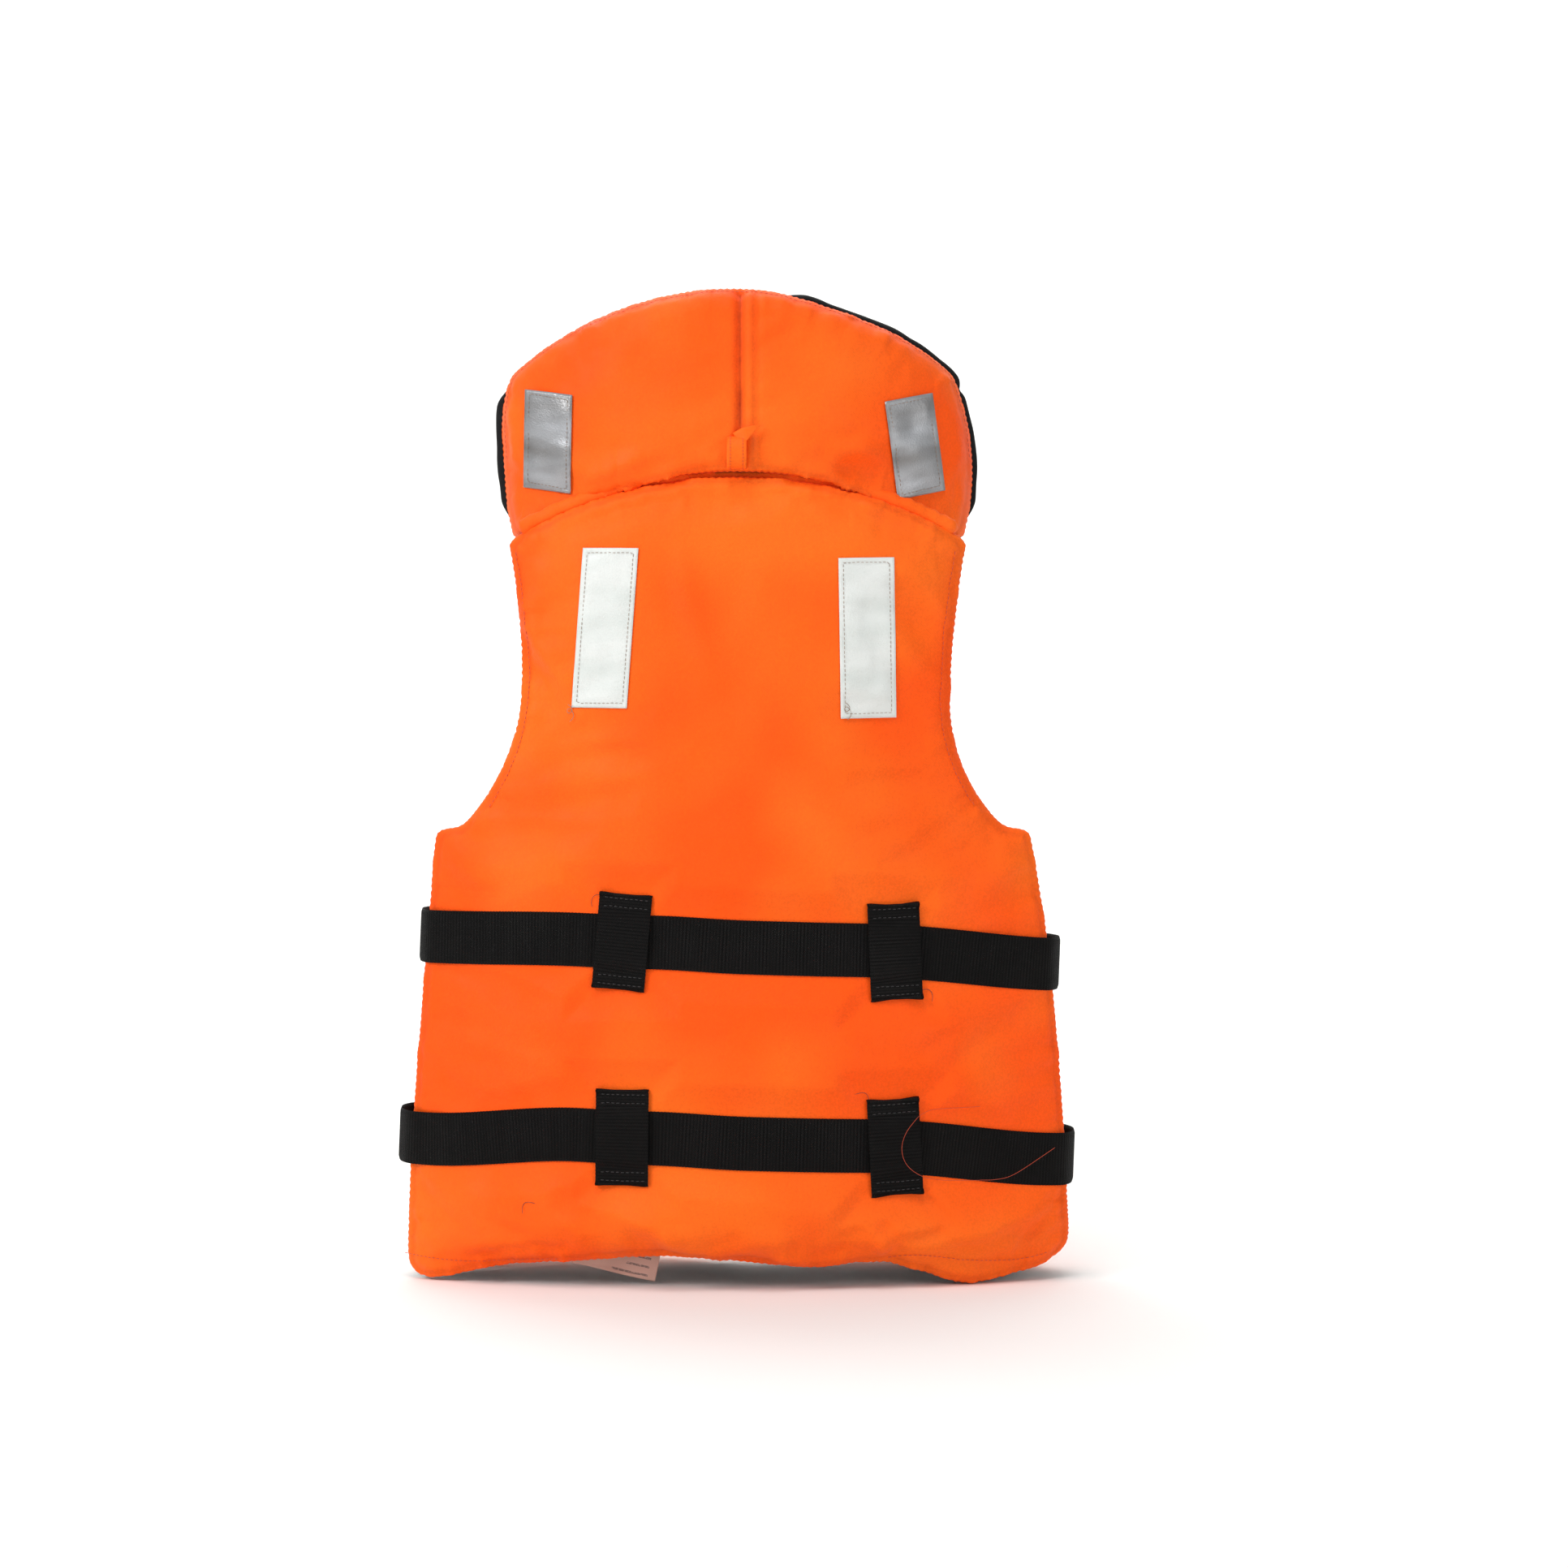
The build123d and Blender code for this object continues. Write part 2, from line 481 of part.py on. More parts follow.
foot_tall = 11.0
foot = Box(CHAIN_X + 2 - 0.7, CHAIN_THICK + 1.6, foot_tall)
save("zip_box", Pos((CHAIN_X + 2 + 0.7) / 2, ZIP_Y, ZIP_BOTTOM - foot_tall / 2) * foot)
pin = Box(CHAIN_X - 0.7, CHAIN_THICK, foot_tall - 1)
save("zip_pin", Pos(-(CHAIN_X + 0.7) / 2, ZIP_Y, ZIP_BOTTOM - foot_tall / 2 + 0.5) * pin)

inside = CHAIN_THICK + 2 * SLIDER_AIR
depth = inside + 2 * SLIDER_PLATE
body = Box(2 * SLIDER_HALF, depth, SLIDER_TALL)
body = fillet(body.edges().filter_by(Axis.Y), 2.5)
body = body - Box(2 * (CHAIN_X + SLIDER_AIR), inside, 2 * SLIDER_TALL)
body = body - Box(4 * SLIDER_HALF, TAPE_FABRIC + 2 * SLIDER_AIR, 2 * SLIDER_TALL)
body = body + Box(POST_THICK, inside, SLIDER_TALL)
PIN_Y = depth / 2 + 3.6
arch = Pos(0, -(depth / 2 + 2.4), 3.0) * Box(1.8, 4.8, 4.0)
for s in (1, -1):
    body = body + Pos(s * (PULL_WIDE / 2 + 1.2), 0, 0) * arch
body = body + Pos(0, -PIN_Y, 3.0) * Rot(0, 90, 0) * Cylinder(0.9, PULL_WIDE + 2.6)
slider_at = Pos(0, ZIP_Y, ZIP_TOP + 0.6 + SLIDER_TALL / 2)
save("zip_slider", slider_at * body)

pull = Rot(0, 90, 0) * Cylinder(2.2, PULL_WIDE - 1.2)
pull = pull + Pos(0, 0, -PULL_LONG / 2) * Box(PULL_WIDE - 1.2, PULL_THICK, PULL_LONG)
pull = pull + Pos(0, 0, -PULL_LONG * 0.66) * Box(PULL_WIDE + 1.5, PULL_THICK + 0.8, PULL_LONG * 0.6)
pull = pull - Rot(0, 90, 0) * Cylinder(1.25, 4 * PULL_WIDE)
save("zip_pull", slider_at * Pos(0, -PIN_Y, 3.0) * pull)

# ---------------------------------------------------------------- whistle and label
whistle_y = arc_y(FRONT_OUT, WHISTLE_X, -1) - 2.4 - WHISTLE_DEEP / 2
whistle = Box(WHISTLE_WIDE * 0.62, WHISTLE_DEEP, WHISTLE_LONG)
whistle = whistle + Pos(0, 0, -WHISTLE_LONG * 0.28) * Box(WHISTLE_WIDE, WHISTLE_DEEP, WHISTLE_LONG * 0.44)
whistle = fillet(whistle.edges().filter_by(Axis.Z), 1.6)
whistle = whistle - Pos(0, -2, WHISTLE_LONG * 0.16) * Box(WHISTLE_WIDE, WHISTLE_DEEP - 4, 5.0)
save("whistle", Pos(-WHISTLE_X, whistle_y, WHISTLE_Z) * whistle)
band_tall = 9.0
holder = Box(WHISTLE_WIDE + 3.6, WHISTLE_DEEP + 3.0, band_tall)
holder = holder - Box(WHISTLE_WIDE + 0.4, WHISTLE_DEEP + 0.4, 2 * band_tall)
wide_flap = front_skin(0.0, 1.2, WHISTLE_X - 18, WHISTLE_X + 18)
wide_flap = wide_flap & slab(0, FAR, -band_tall / 2, band_tall / 2)
holder = Pos(-WHISTLE_X, whistle_y, 0) * holder
holder = holder - mirrored(strip(FRONT_IN, FRONT_OUT, WHISTLE_X - 25, WHISTLE_X + 25, -1))
holder = Pos(0, 0, WHISTLE_Z - 12) * (holder + mirrored(wide_flap))
save("whistle_holder", holder)

slope = degrees(atan2(LABEL_X, sqrt(BACK_IN[2] ** 2 - LABEL_X**2)))
label = Pos(LABEL_X, arc_y(BACK_IN, LABEL_X, 1) - 1.4, LABEL_Z) * Rot(0, 0, -slope)
save("care_label", label * Rot(0, LABEL_TILT, 0) * Box(LABEL_WIDE, 0.5, LABEL_TALL))
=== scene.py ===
import bpy
import bmesh
import numpy as np
from math import radians, pi
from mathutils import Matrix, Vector


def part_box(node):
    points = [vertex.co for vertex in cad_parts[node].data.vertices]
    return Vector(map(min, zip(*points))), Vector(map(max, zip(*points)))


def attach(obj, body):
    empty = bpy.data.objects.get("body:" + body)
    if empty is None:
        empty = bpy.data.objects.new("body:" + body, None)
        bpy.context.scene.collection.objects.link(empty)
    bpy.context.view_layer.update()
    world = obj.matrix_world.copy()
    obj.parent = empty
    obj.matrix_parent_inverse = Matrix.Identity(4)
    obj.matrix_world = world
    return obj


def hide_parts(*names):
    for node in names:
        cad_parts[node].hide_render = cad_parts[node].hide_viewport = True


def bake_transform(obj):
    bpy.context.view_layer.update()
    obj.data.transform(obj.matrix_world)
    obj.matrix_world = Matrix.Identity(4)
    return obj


# A foam life jacket with a head-support collar, dressed in fabric, webbing and tape
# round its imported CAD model. Lengths are in metres; MM turns millimetres into them.
MM = 0.001
BELT_LEAN = radians(2.2)  # the belts rise this much towards +X
BELT_WIDE = 38 * MM
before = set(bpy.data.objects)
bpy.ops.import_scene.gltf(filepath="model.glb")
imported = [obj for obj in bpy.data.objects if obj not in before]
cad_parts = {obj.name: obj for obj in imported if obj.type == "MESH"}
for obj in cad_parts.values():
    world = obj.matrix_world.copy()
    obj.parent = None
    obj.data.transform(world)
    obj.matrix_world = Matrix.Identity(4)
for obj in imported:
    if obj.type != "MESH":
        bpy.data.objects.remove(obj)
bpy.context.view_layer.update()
scene = bpy.context.scene
X, Y, Z = np.eye(3)


# ================================================================ small tools
def link(name, mesh):
    """A new object for a mesh, standing at the origin."""
    obj = bpy.data.objects.new(name, mesh)
    scene.collection.objects.link(obj)
    return obj


def read(obj):
    """The object's points as one array."""
    points = np.empty(len(obj.data.vertices) * 3)
    obj.data.vertices.foreach_get("co", points)
    return points.reshape(-1, 3)


def write(obj, points):
    """Puts the points back."""
    obj.data.vertices.foreach_set("co", points.ravel())
    obj.data.update()


def outward(obj):
    """The direction each point of the surface faces."""
    normals = np.empty(len(obj.data.vertices) * 3)
    obj.data.vertex_normals.foreach_get("vector", normals)
    return normals.reshape(-1, 3)


def keep_shape(obj):
    """Applies every modifier, so only the finished mesh is left."""
    graph = bpy.context.evaluated_depsgraph_get()
    mesh = bpy.data.meshes.new_from_object(obj.evaluated_get(graph))
    obj.modifiers.clear()
    obj.data = mesh
    obj.data.name = obj.name


def mark(obj, name, values):
    """Stores one number per point, for a material to read."""
    layer = obj.data.attributes.get(name) or obj.data.attributes.new(name, "FLOAT", "POINT")
    layer.data.foreach_set("value", np.asarray(values, np.float32))


def smooth(obj):
    """Shades the surface without facets."""
    obj.data.polygons.foreach_set("use_smooth", np.ones(len(obj.data.polygons), bool))
    obj.data.update()
    return obj


def span(node):
    """Lowest and highest corner of a CAD node, as arrays."""
    low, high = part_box(node)
    return np.array(low), np.array(high)


def middle(node):
    """The middle of a CAD node's box."""
    low, high = span(node)
    return (low + high) / 2


def unit(ways):
    """Each row of an array of directions, made one long."""
    return ways / np.linalg.norm(ways, axis=1)[:, None]


def relaxed(line, rounds):
    """A line with each inner point averaged with its neighbours, again and again."""
    for _ in range(rounds):
        line = np.vstack([line[:1], (line[:-2] + 2 * line[1:-1] + line[2:]) / 4, line[-1:]])
    return line


def hill(distance, width):
    """A rounded rise of height 1 that dies away over about one width: exp of minus the square."""
    return np.exp(-((distance / width) ** 2))


def ease(start, end, value):
    """0 before start, 1 after end, and an S-shaped rise between."""
    t = np.clip((value - start) / (end - start), 0, 1)
    return t * t * (3 - 2 * t)


def wander(seed, length, *axes):
    """Smooth random waves between about -1 and 1.

    It sums eight sines in random directions, each near the given wavelength.
    """
    rng = np.random.default_rng(seed)
    total = 0.0
    for _ in range(8):
        way = rng.normal(size=len(axes))
        way *= 2 * pi / (length * rng.uniform(0.7, 1.5)) / np.linalg.norm(way)
        total = total + np.sin(sum(w * a for w, a in zip(way, axes)) + rng.uniform(0, 2 * pi))
    return total / 3.2


def squares(rows, columns, wrap_rows=False, wrap_columns=False):
    """Corner numbers of the faces that join a grid of points."""
    r = np.arange(rows if wrap_rows else rows - 1)[:, None]
    c = np.arange(columns if wrap_columns else columns - 1)[None, :]
    r2, c2 = (r + 1) % rows, (c + 1) % columns
    corners = [r * columns + c, r * columns + c2, r2 * columns + c2, r2 * columns + c]
    return np.stack([np.broadcast_to(k, (len(r), c.shape[1])) for k in corners], -1).reshape(-1, 4)


def unfold(mesh, uv):
    """Gives the mesh a UV map from one place per point."""
    layer = mesh.uv_layers.new(name="UVMap")
    corner = np.empty(len(mesh.loops), np.int32)
    mesh.loops.foreach_get("vertex_index", corner)
    layer.data.foreach_set("uv", uv.reshape(-1, 2)[corner].astype(np.float32).ravel())


def skin(name, points, faces, material, uv=None):
    """A mesh object from arrays of points and faces."""
    mesh = bpy.data.meshes.new(name)
    mesh.from_pydata(points.reshape(-1, 3).tolist(), [], faces.tolist())
    mesh.validate()
    if uv is not None:
        unfold(mesh, uv)
    obj = smooth(link(name, mesh))
    mesh.materials.append(material)
    face_out(obj)
    return obj


def face_out(obj):
    """Turns every closed surface so that it faces outwards."""
    bm = bmesh.new()
    bm.from_mesh(obj.data)
    bmesh.ops.recalc_face_normals(bm, faces=bm.faces)
    bm.to_mesh(obj.data)
    bm.free()


# ================================================================ materials
def linear(code):
    """A hex colour as the linear red, green, blue and alpha that shaders use."""
    parts = np.array([int(code[i : i + 2], 16) / 255 for i in (1, 3, 5)])
    low, high = parts / 12.92, ((parts + 0.055) / 1.055) ** 2.4
    return (*np.where(parts <= 0.04045, low, high), 1.0)


def start(name, **surface):
    """A new material. Returns it with its node tree and its surface shader."""
    material = bpy.data.materials.new(name)
    material.use_nodes = True
    tree = material.node_tree
    shader = tree.nodes["Principled BSDF"]
    for socket, value in surface.items():
        shader.inputs[socket.replace("_", " ")].default_value = value
    return material, tree, shader


def add(tree, kind, settings=None, **inputs):
    """Adds a node with its settings, and links or sets its inputs by name or number."""
    node = tree.nodes.new("ShaderNode" + kind)
    for key, value in (settings or {}).items():
        setattr(node, key, value)
    for key, value in inputs.items():
        socket = node.inputs[int(key[1:])] if key[0] == "n" and key[1:].isdigit() else node.inputs[key]
        if isinstance(value, bpy.types.NodeSocket):
            tree.links.new(value, socket)
        else:
            socket.default_value = value
    return node


def maths(tree, what, a, b=0.0, c=0.0):
    """One step of arithmetic on numbers."""
    return add(tree, "Math", {"operation": what}, n0=a, n1=b, n2=c).outputs[0]


def place(tree, scale, uv=False, turn=(0, 0, 0)):
    """Where the surface is, in the object's own metres times scale."""
    spot = add(tree, "TexCoord").outputs["UV" if uv else "Object"]
    return add(tree, "Mapping", Vector=spot, Scale=scale, Rotation=turn).outputs[0]


def noise(tree, size, detail=3.0, roughness=0.55, uv=False, stretch=(1, 1, 1), turn=(0, 0, 0)):
    """Cloudy variation whose clouds are about size metres across."""
    scale = tuple(s / size for s in stretch)
    return add(tree, "TexNoise", Vector=place(tree, scale, uv, turn), Scale=1.0, Detail=detail,
               Roughness=roughness).outputs["Fac"]


def blend(tree, amount, a, b, mode="MIX"):
    """Mixes two colours."""
    node = add(tree, "Mix", {"data_type": "RGBA", "blend_type": mode}, n0=amount, n6=a, n7=b)
    return node.outputs[2]


def between(tree, value, low, high, out_low=0.0, out_high=1.0):
    """Stretches low..high to out_low..out_high, and holds it there."""
    return add(tree, "MapRange", n0=value, n1=low, n2=high, n3=out_low, n4=out_high).outputs[0]


def threads(tree, pitch, uv=False, axes=(0, 2)):
    """Plain weave: one thread over, one under, as a height from 0 to 1.

    It multiplies a sine along one axis by a sine along the other.
    """
    spot = place(tree, (pi / pitch,) * 3, uv)
    parts = add(tree, "SeparateXYZ", Vector=spot)
    a = maths(tree, "SINE", parts.outputs[axes[0]])
    b = maths(tree, "SINE", parts.outputs[axes[1]])
    return maths(tree, "MULTIPLY_ADD", maths(tree, "MULTIPLY", a, b), 0.5, 0.5)


def relief_node(tree, shader, height, strength, distance):
    """Lets a height shade the surface as small bumps."""
    bump = add(tree, "Bump", Height=height, Strength=strength, Distance=distance)
    tree.links.new(bump.outputs[0], shader.inputs["Normal"])


def nylon_woven(name, base, light, deep, rough=0.62, sheen=0.03):
    """Coated woven nylon: fine plain weave, soft sheen, large clouds of lighter and darker cloth that are
    partly faded dye and partly painted shading of the cover's curves, and seams darkened partly by rubbing
    and partly by painted shade in their grooves.
    """
    material, tree, shader = start(name, Sheen_Weight=sheen, Sheen_Roughness=0.4, IOR=1.5,
                                   Specular_IOR_Level=0.18)
    # painted shading: large clouds of the lighter colour stand in for how light falls across the cover's
    # curves, on top of some real fading
    fade_and_shade_cloud = noise(tree, 0.16, 2.0)
    patch = between(tree, fade_and_shade_cloud, 0.38, 0.62)
    colour = blend(tree, patch, linear(base), linear(light))
    # painted shade: the seam attribute darkens the cloth towards deep along stitched grooves, partly as
    # rubbed wear and partly as the shade that falls in the grooves
    seam = add(tree, "Attribute", {"attribute_name": "seam"}).outputs["Fac"]
    rub = between(tree, noise(tree, 0.012, 4.0), 0.4, 0.7, 0.5, 1.0)
    colour = blend(tree, maths(tree, "MULTIPLY", seam, rub), colour, linear(deep))
    speck = between(tree, noise(tree, 0.0016, 2.0), 0.3, 0.75, 0.90, 1.05)
    value = add(tree, "HueSaturation", Value=speck, Color=colour)
    tree.links.new(value.outputs[0], shader.inputs["Base Color"])
    # real threads are about 0.4 mm apart; they are drawn at 0.9 mm so that they show
    weave = threads(tree, 0.0009)
    crumple = noise(tree, 0.022, 6.0, 0.62)
    height = maths(tree, "MULTIPLY_ADD", crumple, 2.2, maths(tree, "MULTIPLY", weave, 0.16))
    relief_node(tree, shader, height, 0.45, 0.0011)
    rough_value = between(tree, noise(tree, 0.03, 4.0), 0.3, 0.7, rough - 0.08, rough + 0.10)
    tree.links.new(rough_value, shader.inputs["Roughness"])
    return material


def webbing_woven(name, base, light):
    """Polypropylene webbing: thick twisted threads in ribs, each strand's top painted lighter as a dull
    highlight, with a real gloss from its roughness.
    """
    material, tree, shader = start(name, IOR=1.49, Specular_IOR_Level=0.1)
    spot = place(tree, (1, 1, 1), uv=True)
    parts = add(tree, "SeparateXYZ", Vector=spot)
    along, across = parts.outputs[0], parts.outputs[1]
    # each rib is crossed by threads 1.15 mm apart that lean one way, then the other
    lean = maths(tree, "PINGPONG", along, 0.00145)
    twist = maths(tree, "MULTIPLY_ADD", lean, 0.9, across)
    strand = maths(tree, "SINE", maths(tree, "MULTIPLY", twist, 2 * pi / 0.00115))
    strand = maths(tree, "MULTIPLY_ADD", strand, 0.5, 0.5)
    hair = noise(tree, 0.0009, 3.0, 0.7, True, (1, 3, 1))
    # painted highlight: each strand's top is coloured lighter, towards the light colour, as the gleam along
    # the rib
    highlight_and_shade_tone = maths(tree, "MULTIPLY", strand, between(tree, hair, 0.3, 0.75, 0.35, 1.0))
    # the hollows between the ribs, one every 2.4 mm, hold almost no light
    rib = maths(tree, "ABSOLUTE", maths(tree, "SINE", maths(tree, "MULTIPLY", along, pi / 0.0024)))
    highlight_and_shade_tone = maths(tree, "MULTIPLY", highlight_and_shade_tone, between(tree, rib, 0.15, 0.85, 0.0, 1.0))
    worn = between(tree, noise(tree, 0.05, 4.0, 0.6), 0.45, 0.75, 0.7, 1.35)
    colour = blend(tree, maths(tree, "MULTIPLY", highlight_and_shade_tone, worn), linear(base), linear(light))
    tree.links.new(colour, shader.inputs["Base Color"])
    tree.links.new(between(tree, strand, 0, 1, 0.72, 0.46), shader.inputs["Roughness"])
    relief_node(tree, shader, maths(tree, "ADD", strand, maths(tree, "MULTIPLY", hair, 0.5)), 0.7, 0.0004)
    return material


def beaded_tape(name, base, shade, rough, glint):
    """Reflective tape: tiny glass beads in a film, pressed in a faint diamond pattern, with diagonal streaks
    of painted sheen in its colour.
    """
    material, tree, shader = start(name, IOR=1.55, Coat_Weight=0.15, Coat_Roughness=0.3)
    # painted sheen: stretched, turned clouds blend the tape between base and shade as soft diagonal
    # reflections
    painted_sheen_streak = noise(tree, 0.030, 2.0, 0.5, True, (0.35, 1.3, 1), (0, 0, -0.6))
    colour = blend(tree, between(tree, painted_sheen_streak, 0.32, 0.68), linear(base), linear(shade))
    scuff = between(tree, noise(tree, 0.006, 6.0, 0.7, True), 0.56, 0.72)
    colour = blend(tree, maths(tree, "MULTIPLY", scuff, 0.14), colour, linear("#8f8a80"))
    tree.links.new(colour, shader.inputs["Base Color"])
    bead = add(tree, "TexVoronoi", {"feature": "SMOOTH_F1"}, Vector=place(tree, (1, 1, 1), True),
               Scale=1 / 0.0011, Smoothness=0.4).outputs["Distance"]
    tree.links.new(between(tree, bead, 0.1, 0.7, rough - 0.08, rough + 0.12), shader.inputs["Roughness"])
    shader.inputs["Metallic"].default_value = glint
    relief_node(tree, shader, maths(tree, "MULTIPLY_ADD", painted_sheen_streak, 3.0, bead), 0.25, 0.0005)
    return material


def moulded_plastic(name, base, light, rough=0.42):
    """Injection-moulded acetal: fine spark-eroded grain with scuffs on it."""
    material, tree, shader = start(name, IOR=1.48)
    scuff = between(tree, noise(tree, 0.008, 6.0, 0.7), 0.5, 0.72)
    colour = blend(tree, maths(tree, "MULTIPLY", scuff, 0.5), linear(base), linear(light))
    tree.links.new(colour, shader.inputs["Base Color"])
    tree.links.new(between(tree, scuff, 0, 1, rough, rough + 0.2), shader.inputs["Roughness"])
    relief_node(tree, shader, noise(tree, 0.0007, 3.0, 0.6), 0.25, 0.0002)
    return material


def painted_zinc(name, base, metal):
    """Die-cast zinc under black paint that has rubbed through in places."""
    material, tree, shader = start(name, IOR=1.5)
    rub = between(tree, noise(tree, 0.004, 6.0, 0.7), 0.60, 0.66)
    tree.links.new(blend(tree, rub, linear(base), linear(metal)), shader.inputs["Base Color"])
    tree.links.new(rub, shader.inputs["Metallic"])
    tree.links.new(between(tree, rub, 0, 1, 0.38, 0.3), shader.inputs["Roughness"])
    relief_node(tree, shader, noise(tree, 0.0012, 4.0), 0.2, 0.0002)
    return material


def spun_thread(name, base, light):
    """Twisted polyester sewing thread: two plies that wind round each other."""
    material, tree, shader = start(name, Sheen_Weight=0.2)
    ply = noise(tree, 0.0006, 3.0, 0.6)
    tree.links.new(blend(tree, ply, linear(base), linear(light)), shader.inputs["Base Color"])
    tree.links.new(between(tree, ply, 0.3, 0.7, 0.5, 0.75), shader.inputs["Roughness"])
    relief_node(tree, shader, ply, 0.5, 0.0002)
    return material


def printed_label(name, base, shade, ink):
    """Woven satin label with plain printed bars, rubbed thin in places."""
    material, tree, shader = start(name, Roughness=0.55, Sheen_Weight=0.2)
    parts = add(tree, "SeparateXYZ", Vector=place(tree, (1, 1, 1), True))
    across, up = parts.outputs[0], parts.outputs[1]
    row = maths(tree, "FRACT", maths(tree, "DIVIDE", up, 0.0062))
    number = maths(tree, "FLOOR", maths(tree, "DIVIDE", up, 0.0062))
    bar = maths(tree, "LESS_THAN", maths(tree, "ABSOLUTE", maths(tree, "SUBTRACT", row, 0.5)), 0.13)
    reach = add(tree, "TexWhiteNoise", {"noise_dimensions": "1D"}, W=number).outputs["Value"]
    reach = maths(tree, "MULTIPLY_ADD", reach, 0.022, 0.020)
    inside = maths(tree, "MULTIPLY", maths(tree, "GREATER_THAN", across, 0.006),
                   maths(tree, "LESS_THAN", across, reach))
    worn = between(tree, noise(tree, 0.0015, 4.0, 0.6, True), 0.35, 0.5)
    ink_here = maths(tree, "MULTIPLY", maths(tree, "MULTIPLY", bar, inside), worn)
    cloth = blend(tree, noise(tree, 0.02, 3.0, 0.5, True), linear(base), linear(shade))
    tree.links.new(blend(tree, maths(tree, "MULTIPLY", ink_here, 0.8), cloth, linear(ink)),
                   shader.inputs["Base Color"])
    relief_node(tree, shader, threads(tree, 0.0005, True, (0, 1)), 0.3, 0.0002)
    return material


ORANGE = nylon_woven("woven nylon, orange", "#ff5604", "#ff6c14", "#b03204")
BLACK_CLOTH = nylon_woven("woven nylon, black", "#0d0c0e", "#161416", "#060606", 0.75, 0.03)
WEBBING = webbing_woven("polypropylene webbing, black", "#020202", "#272524")
WHITE_TAPE = beaded_tape("reflective tape, white", "#dee1de", "#cdd3cf", 0.5, 0.0)
GREY_TAPE = beaded_tape("reflective tape, silver", "#a9abaf", "#6f6c69", 0.36, 0.45)
PLASTIC = moulded_plastic("moulded acetal, black", "#0d0d0e", "#2c2b2c")
ZINC = painted_zinc("painted die-cast zinc", "#101011", "#a9a7a2")
WHISTLE = moulded_plastic("moulded ABS, orange", "#f25a12", "#ff8a45", 0.3)
THREAD_RED = spun_thread("polyester thread, dark orange", "#a92b0a", "#e0521c")
THREAD_BROWN = spun_thread("polyester thread, tan", "#6d5646", "#a98b73")
THREAD_BLACK = spun_thread("polyester thread, black", "#0c0b0c", "#383436")
LABEL = printed_label("satin label, printed", "#e3bdae", "#cfa595", "#6a5a58")


# ================================================================ padded pieces
def outer_shell(obj):
    """Drops the small closed pockets inside a skin and keeps its biggest connected part.

    Each point takes the lowest number among its neighbours until nothing changes.
    """
    mesh = obj.data
    edges = np.empty(len(mesh.edges) * 2, np.int32)
    mesh.edges.foreach_get("vertices", edges)
    a, b = edges.reshape(-1, 2).T
    label = np.arange(len(mesh.vertices))
    while True:
        old = label.copy()
        low = np.minimum(label[a], label[b])
        np.minimum.at(label, a, low)
        np.minimum.at(label, b, low)
        label = label[label]
        if (label == old).all():
            break
    keep = label == np.bincount(label).argmax()
    bm = bmesh.new()
    bm.from_mesh(mesh)
    extra = np.array(bm.verts[:], object)[~keep]
    bmesh.ops.delete(bm, geom=list(extra), context="VERTS")
    bm.to_mesh(mesh)
    bm.free()
    return obj


def closed_skin(name, nodes, grain):
    """One closed skin round several CAD solids that touch, in even squares."""
    bm = bmesh.new()
    for node in nodes:
        bm.from_mesh(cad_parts[node].data)
    mesh = bpy.data.meshes.new(name)
    bm.to_mesh(mesh)
    bm.free()
    obj = link(name, mesh)
    squared = obj.modifiers.new("even squares", "REMESH")
    squared.mode = "VOXEL"
    squared.voxel_size = grain
    keep_shape(obj)
    return outer_shell(obj)


class Relief:
    """A height map: how deep the outermost surface lies at each x and z.

    side is +1 for the face towards +Y and -1 for the face towards -Y.
    """

    def __init__(self, points, side, cell=4 * MM, soften=1):
        self.side, self.cell = side, cell
        self.low = points[:, [0, 2]].min(0) - 3 * cell
        size = ((points[:, [0, 2]].max(0) - self.low) / cell).astype(int) + 4
        spot = ((points[:, [0, 2]] - self.low) / cell + 0.5).astype(int)
        grid = np.full(size, -np.inf)
        np.maximum.at(grid, (spot[:, 0], spot[:, 1]), points[:, 1] * side)
        for _ in range(12):
            empty = ~np.isfinite(grid)
            around = np.stack([np.roll(grid, s, a) for s in (1, -1) for a in (0, 1)])
            grid = np.where(empty, around.max(0), grid)
        grid = np.where(np.isfinite(grid), grid, grid[np.isfinite(grid)].min())
        for _ in range(soften):
            grid = (grid * 2 + sum(np.roll(grid, s, a) for s in (1, -1) for a in (0, 1))) / 6
        self.grid = grid

    def at(self, x, z):
        """Depth in y at x and z, between the four nearest cells."""
        spot = [(np.asarray(v) - low) / self.cell for v, low in zip((x, z), self.low)]
        spot = [np.clip(s, 0, n - 1.001) for s, n in zip(spot, self.grid.shape)]
        i, j = (s.astype(int) for s in spot)
        u, v = spot[0] - i, spot[1] - j
        g = self.grid
        near = g[i, j] * (1 - u) + g[i + 1, j] * u
        far = g[i, j + 1] * (1 - u) + g[i + 1, j + 1] * u
        return self.side * (near * (1 - v) + far * v)


def nearest_edge(points, rim):
    """Distance to the panel's outline seen straight on, and the nearest place on it."""
    flat, edge = points[:, [0, 2]].astype(np.float32), rim[:, [0, 2]].astype(np.float32)
    far, foot = np.empty(len(flat)), np.empty((len(flat), 2))
    for i in range(0, len(flat), 2000):
        gap = ((flat[i : i + 2000, None] - edge[None]) ** 2).sum(-1)
        best = gap.argmin(1)
        far[i : i + 2000] = np.sqrt(gap[np.arange(len(best)), best])
        foot[i : i + 2000] = edge[best]
    return far, foot


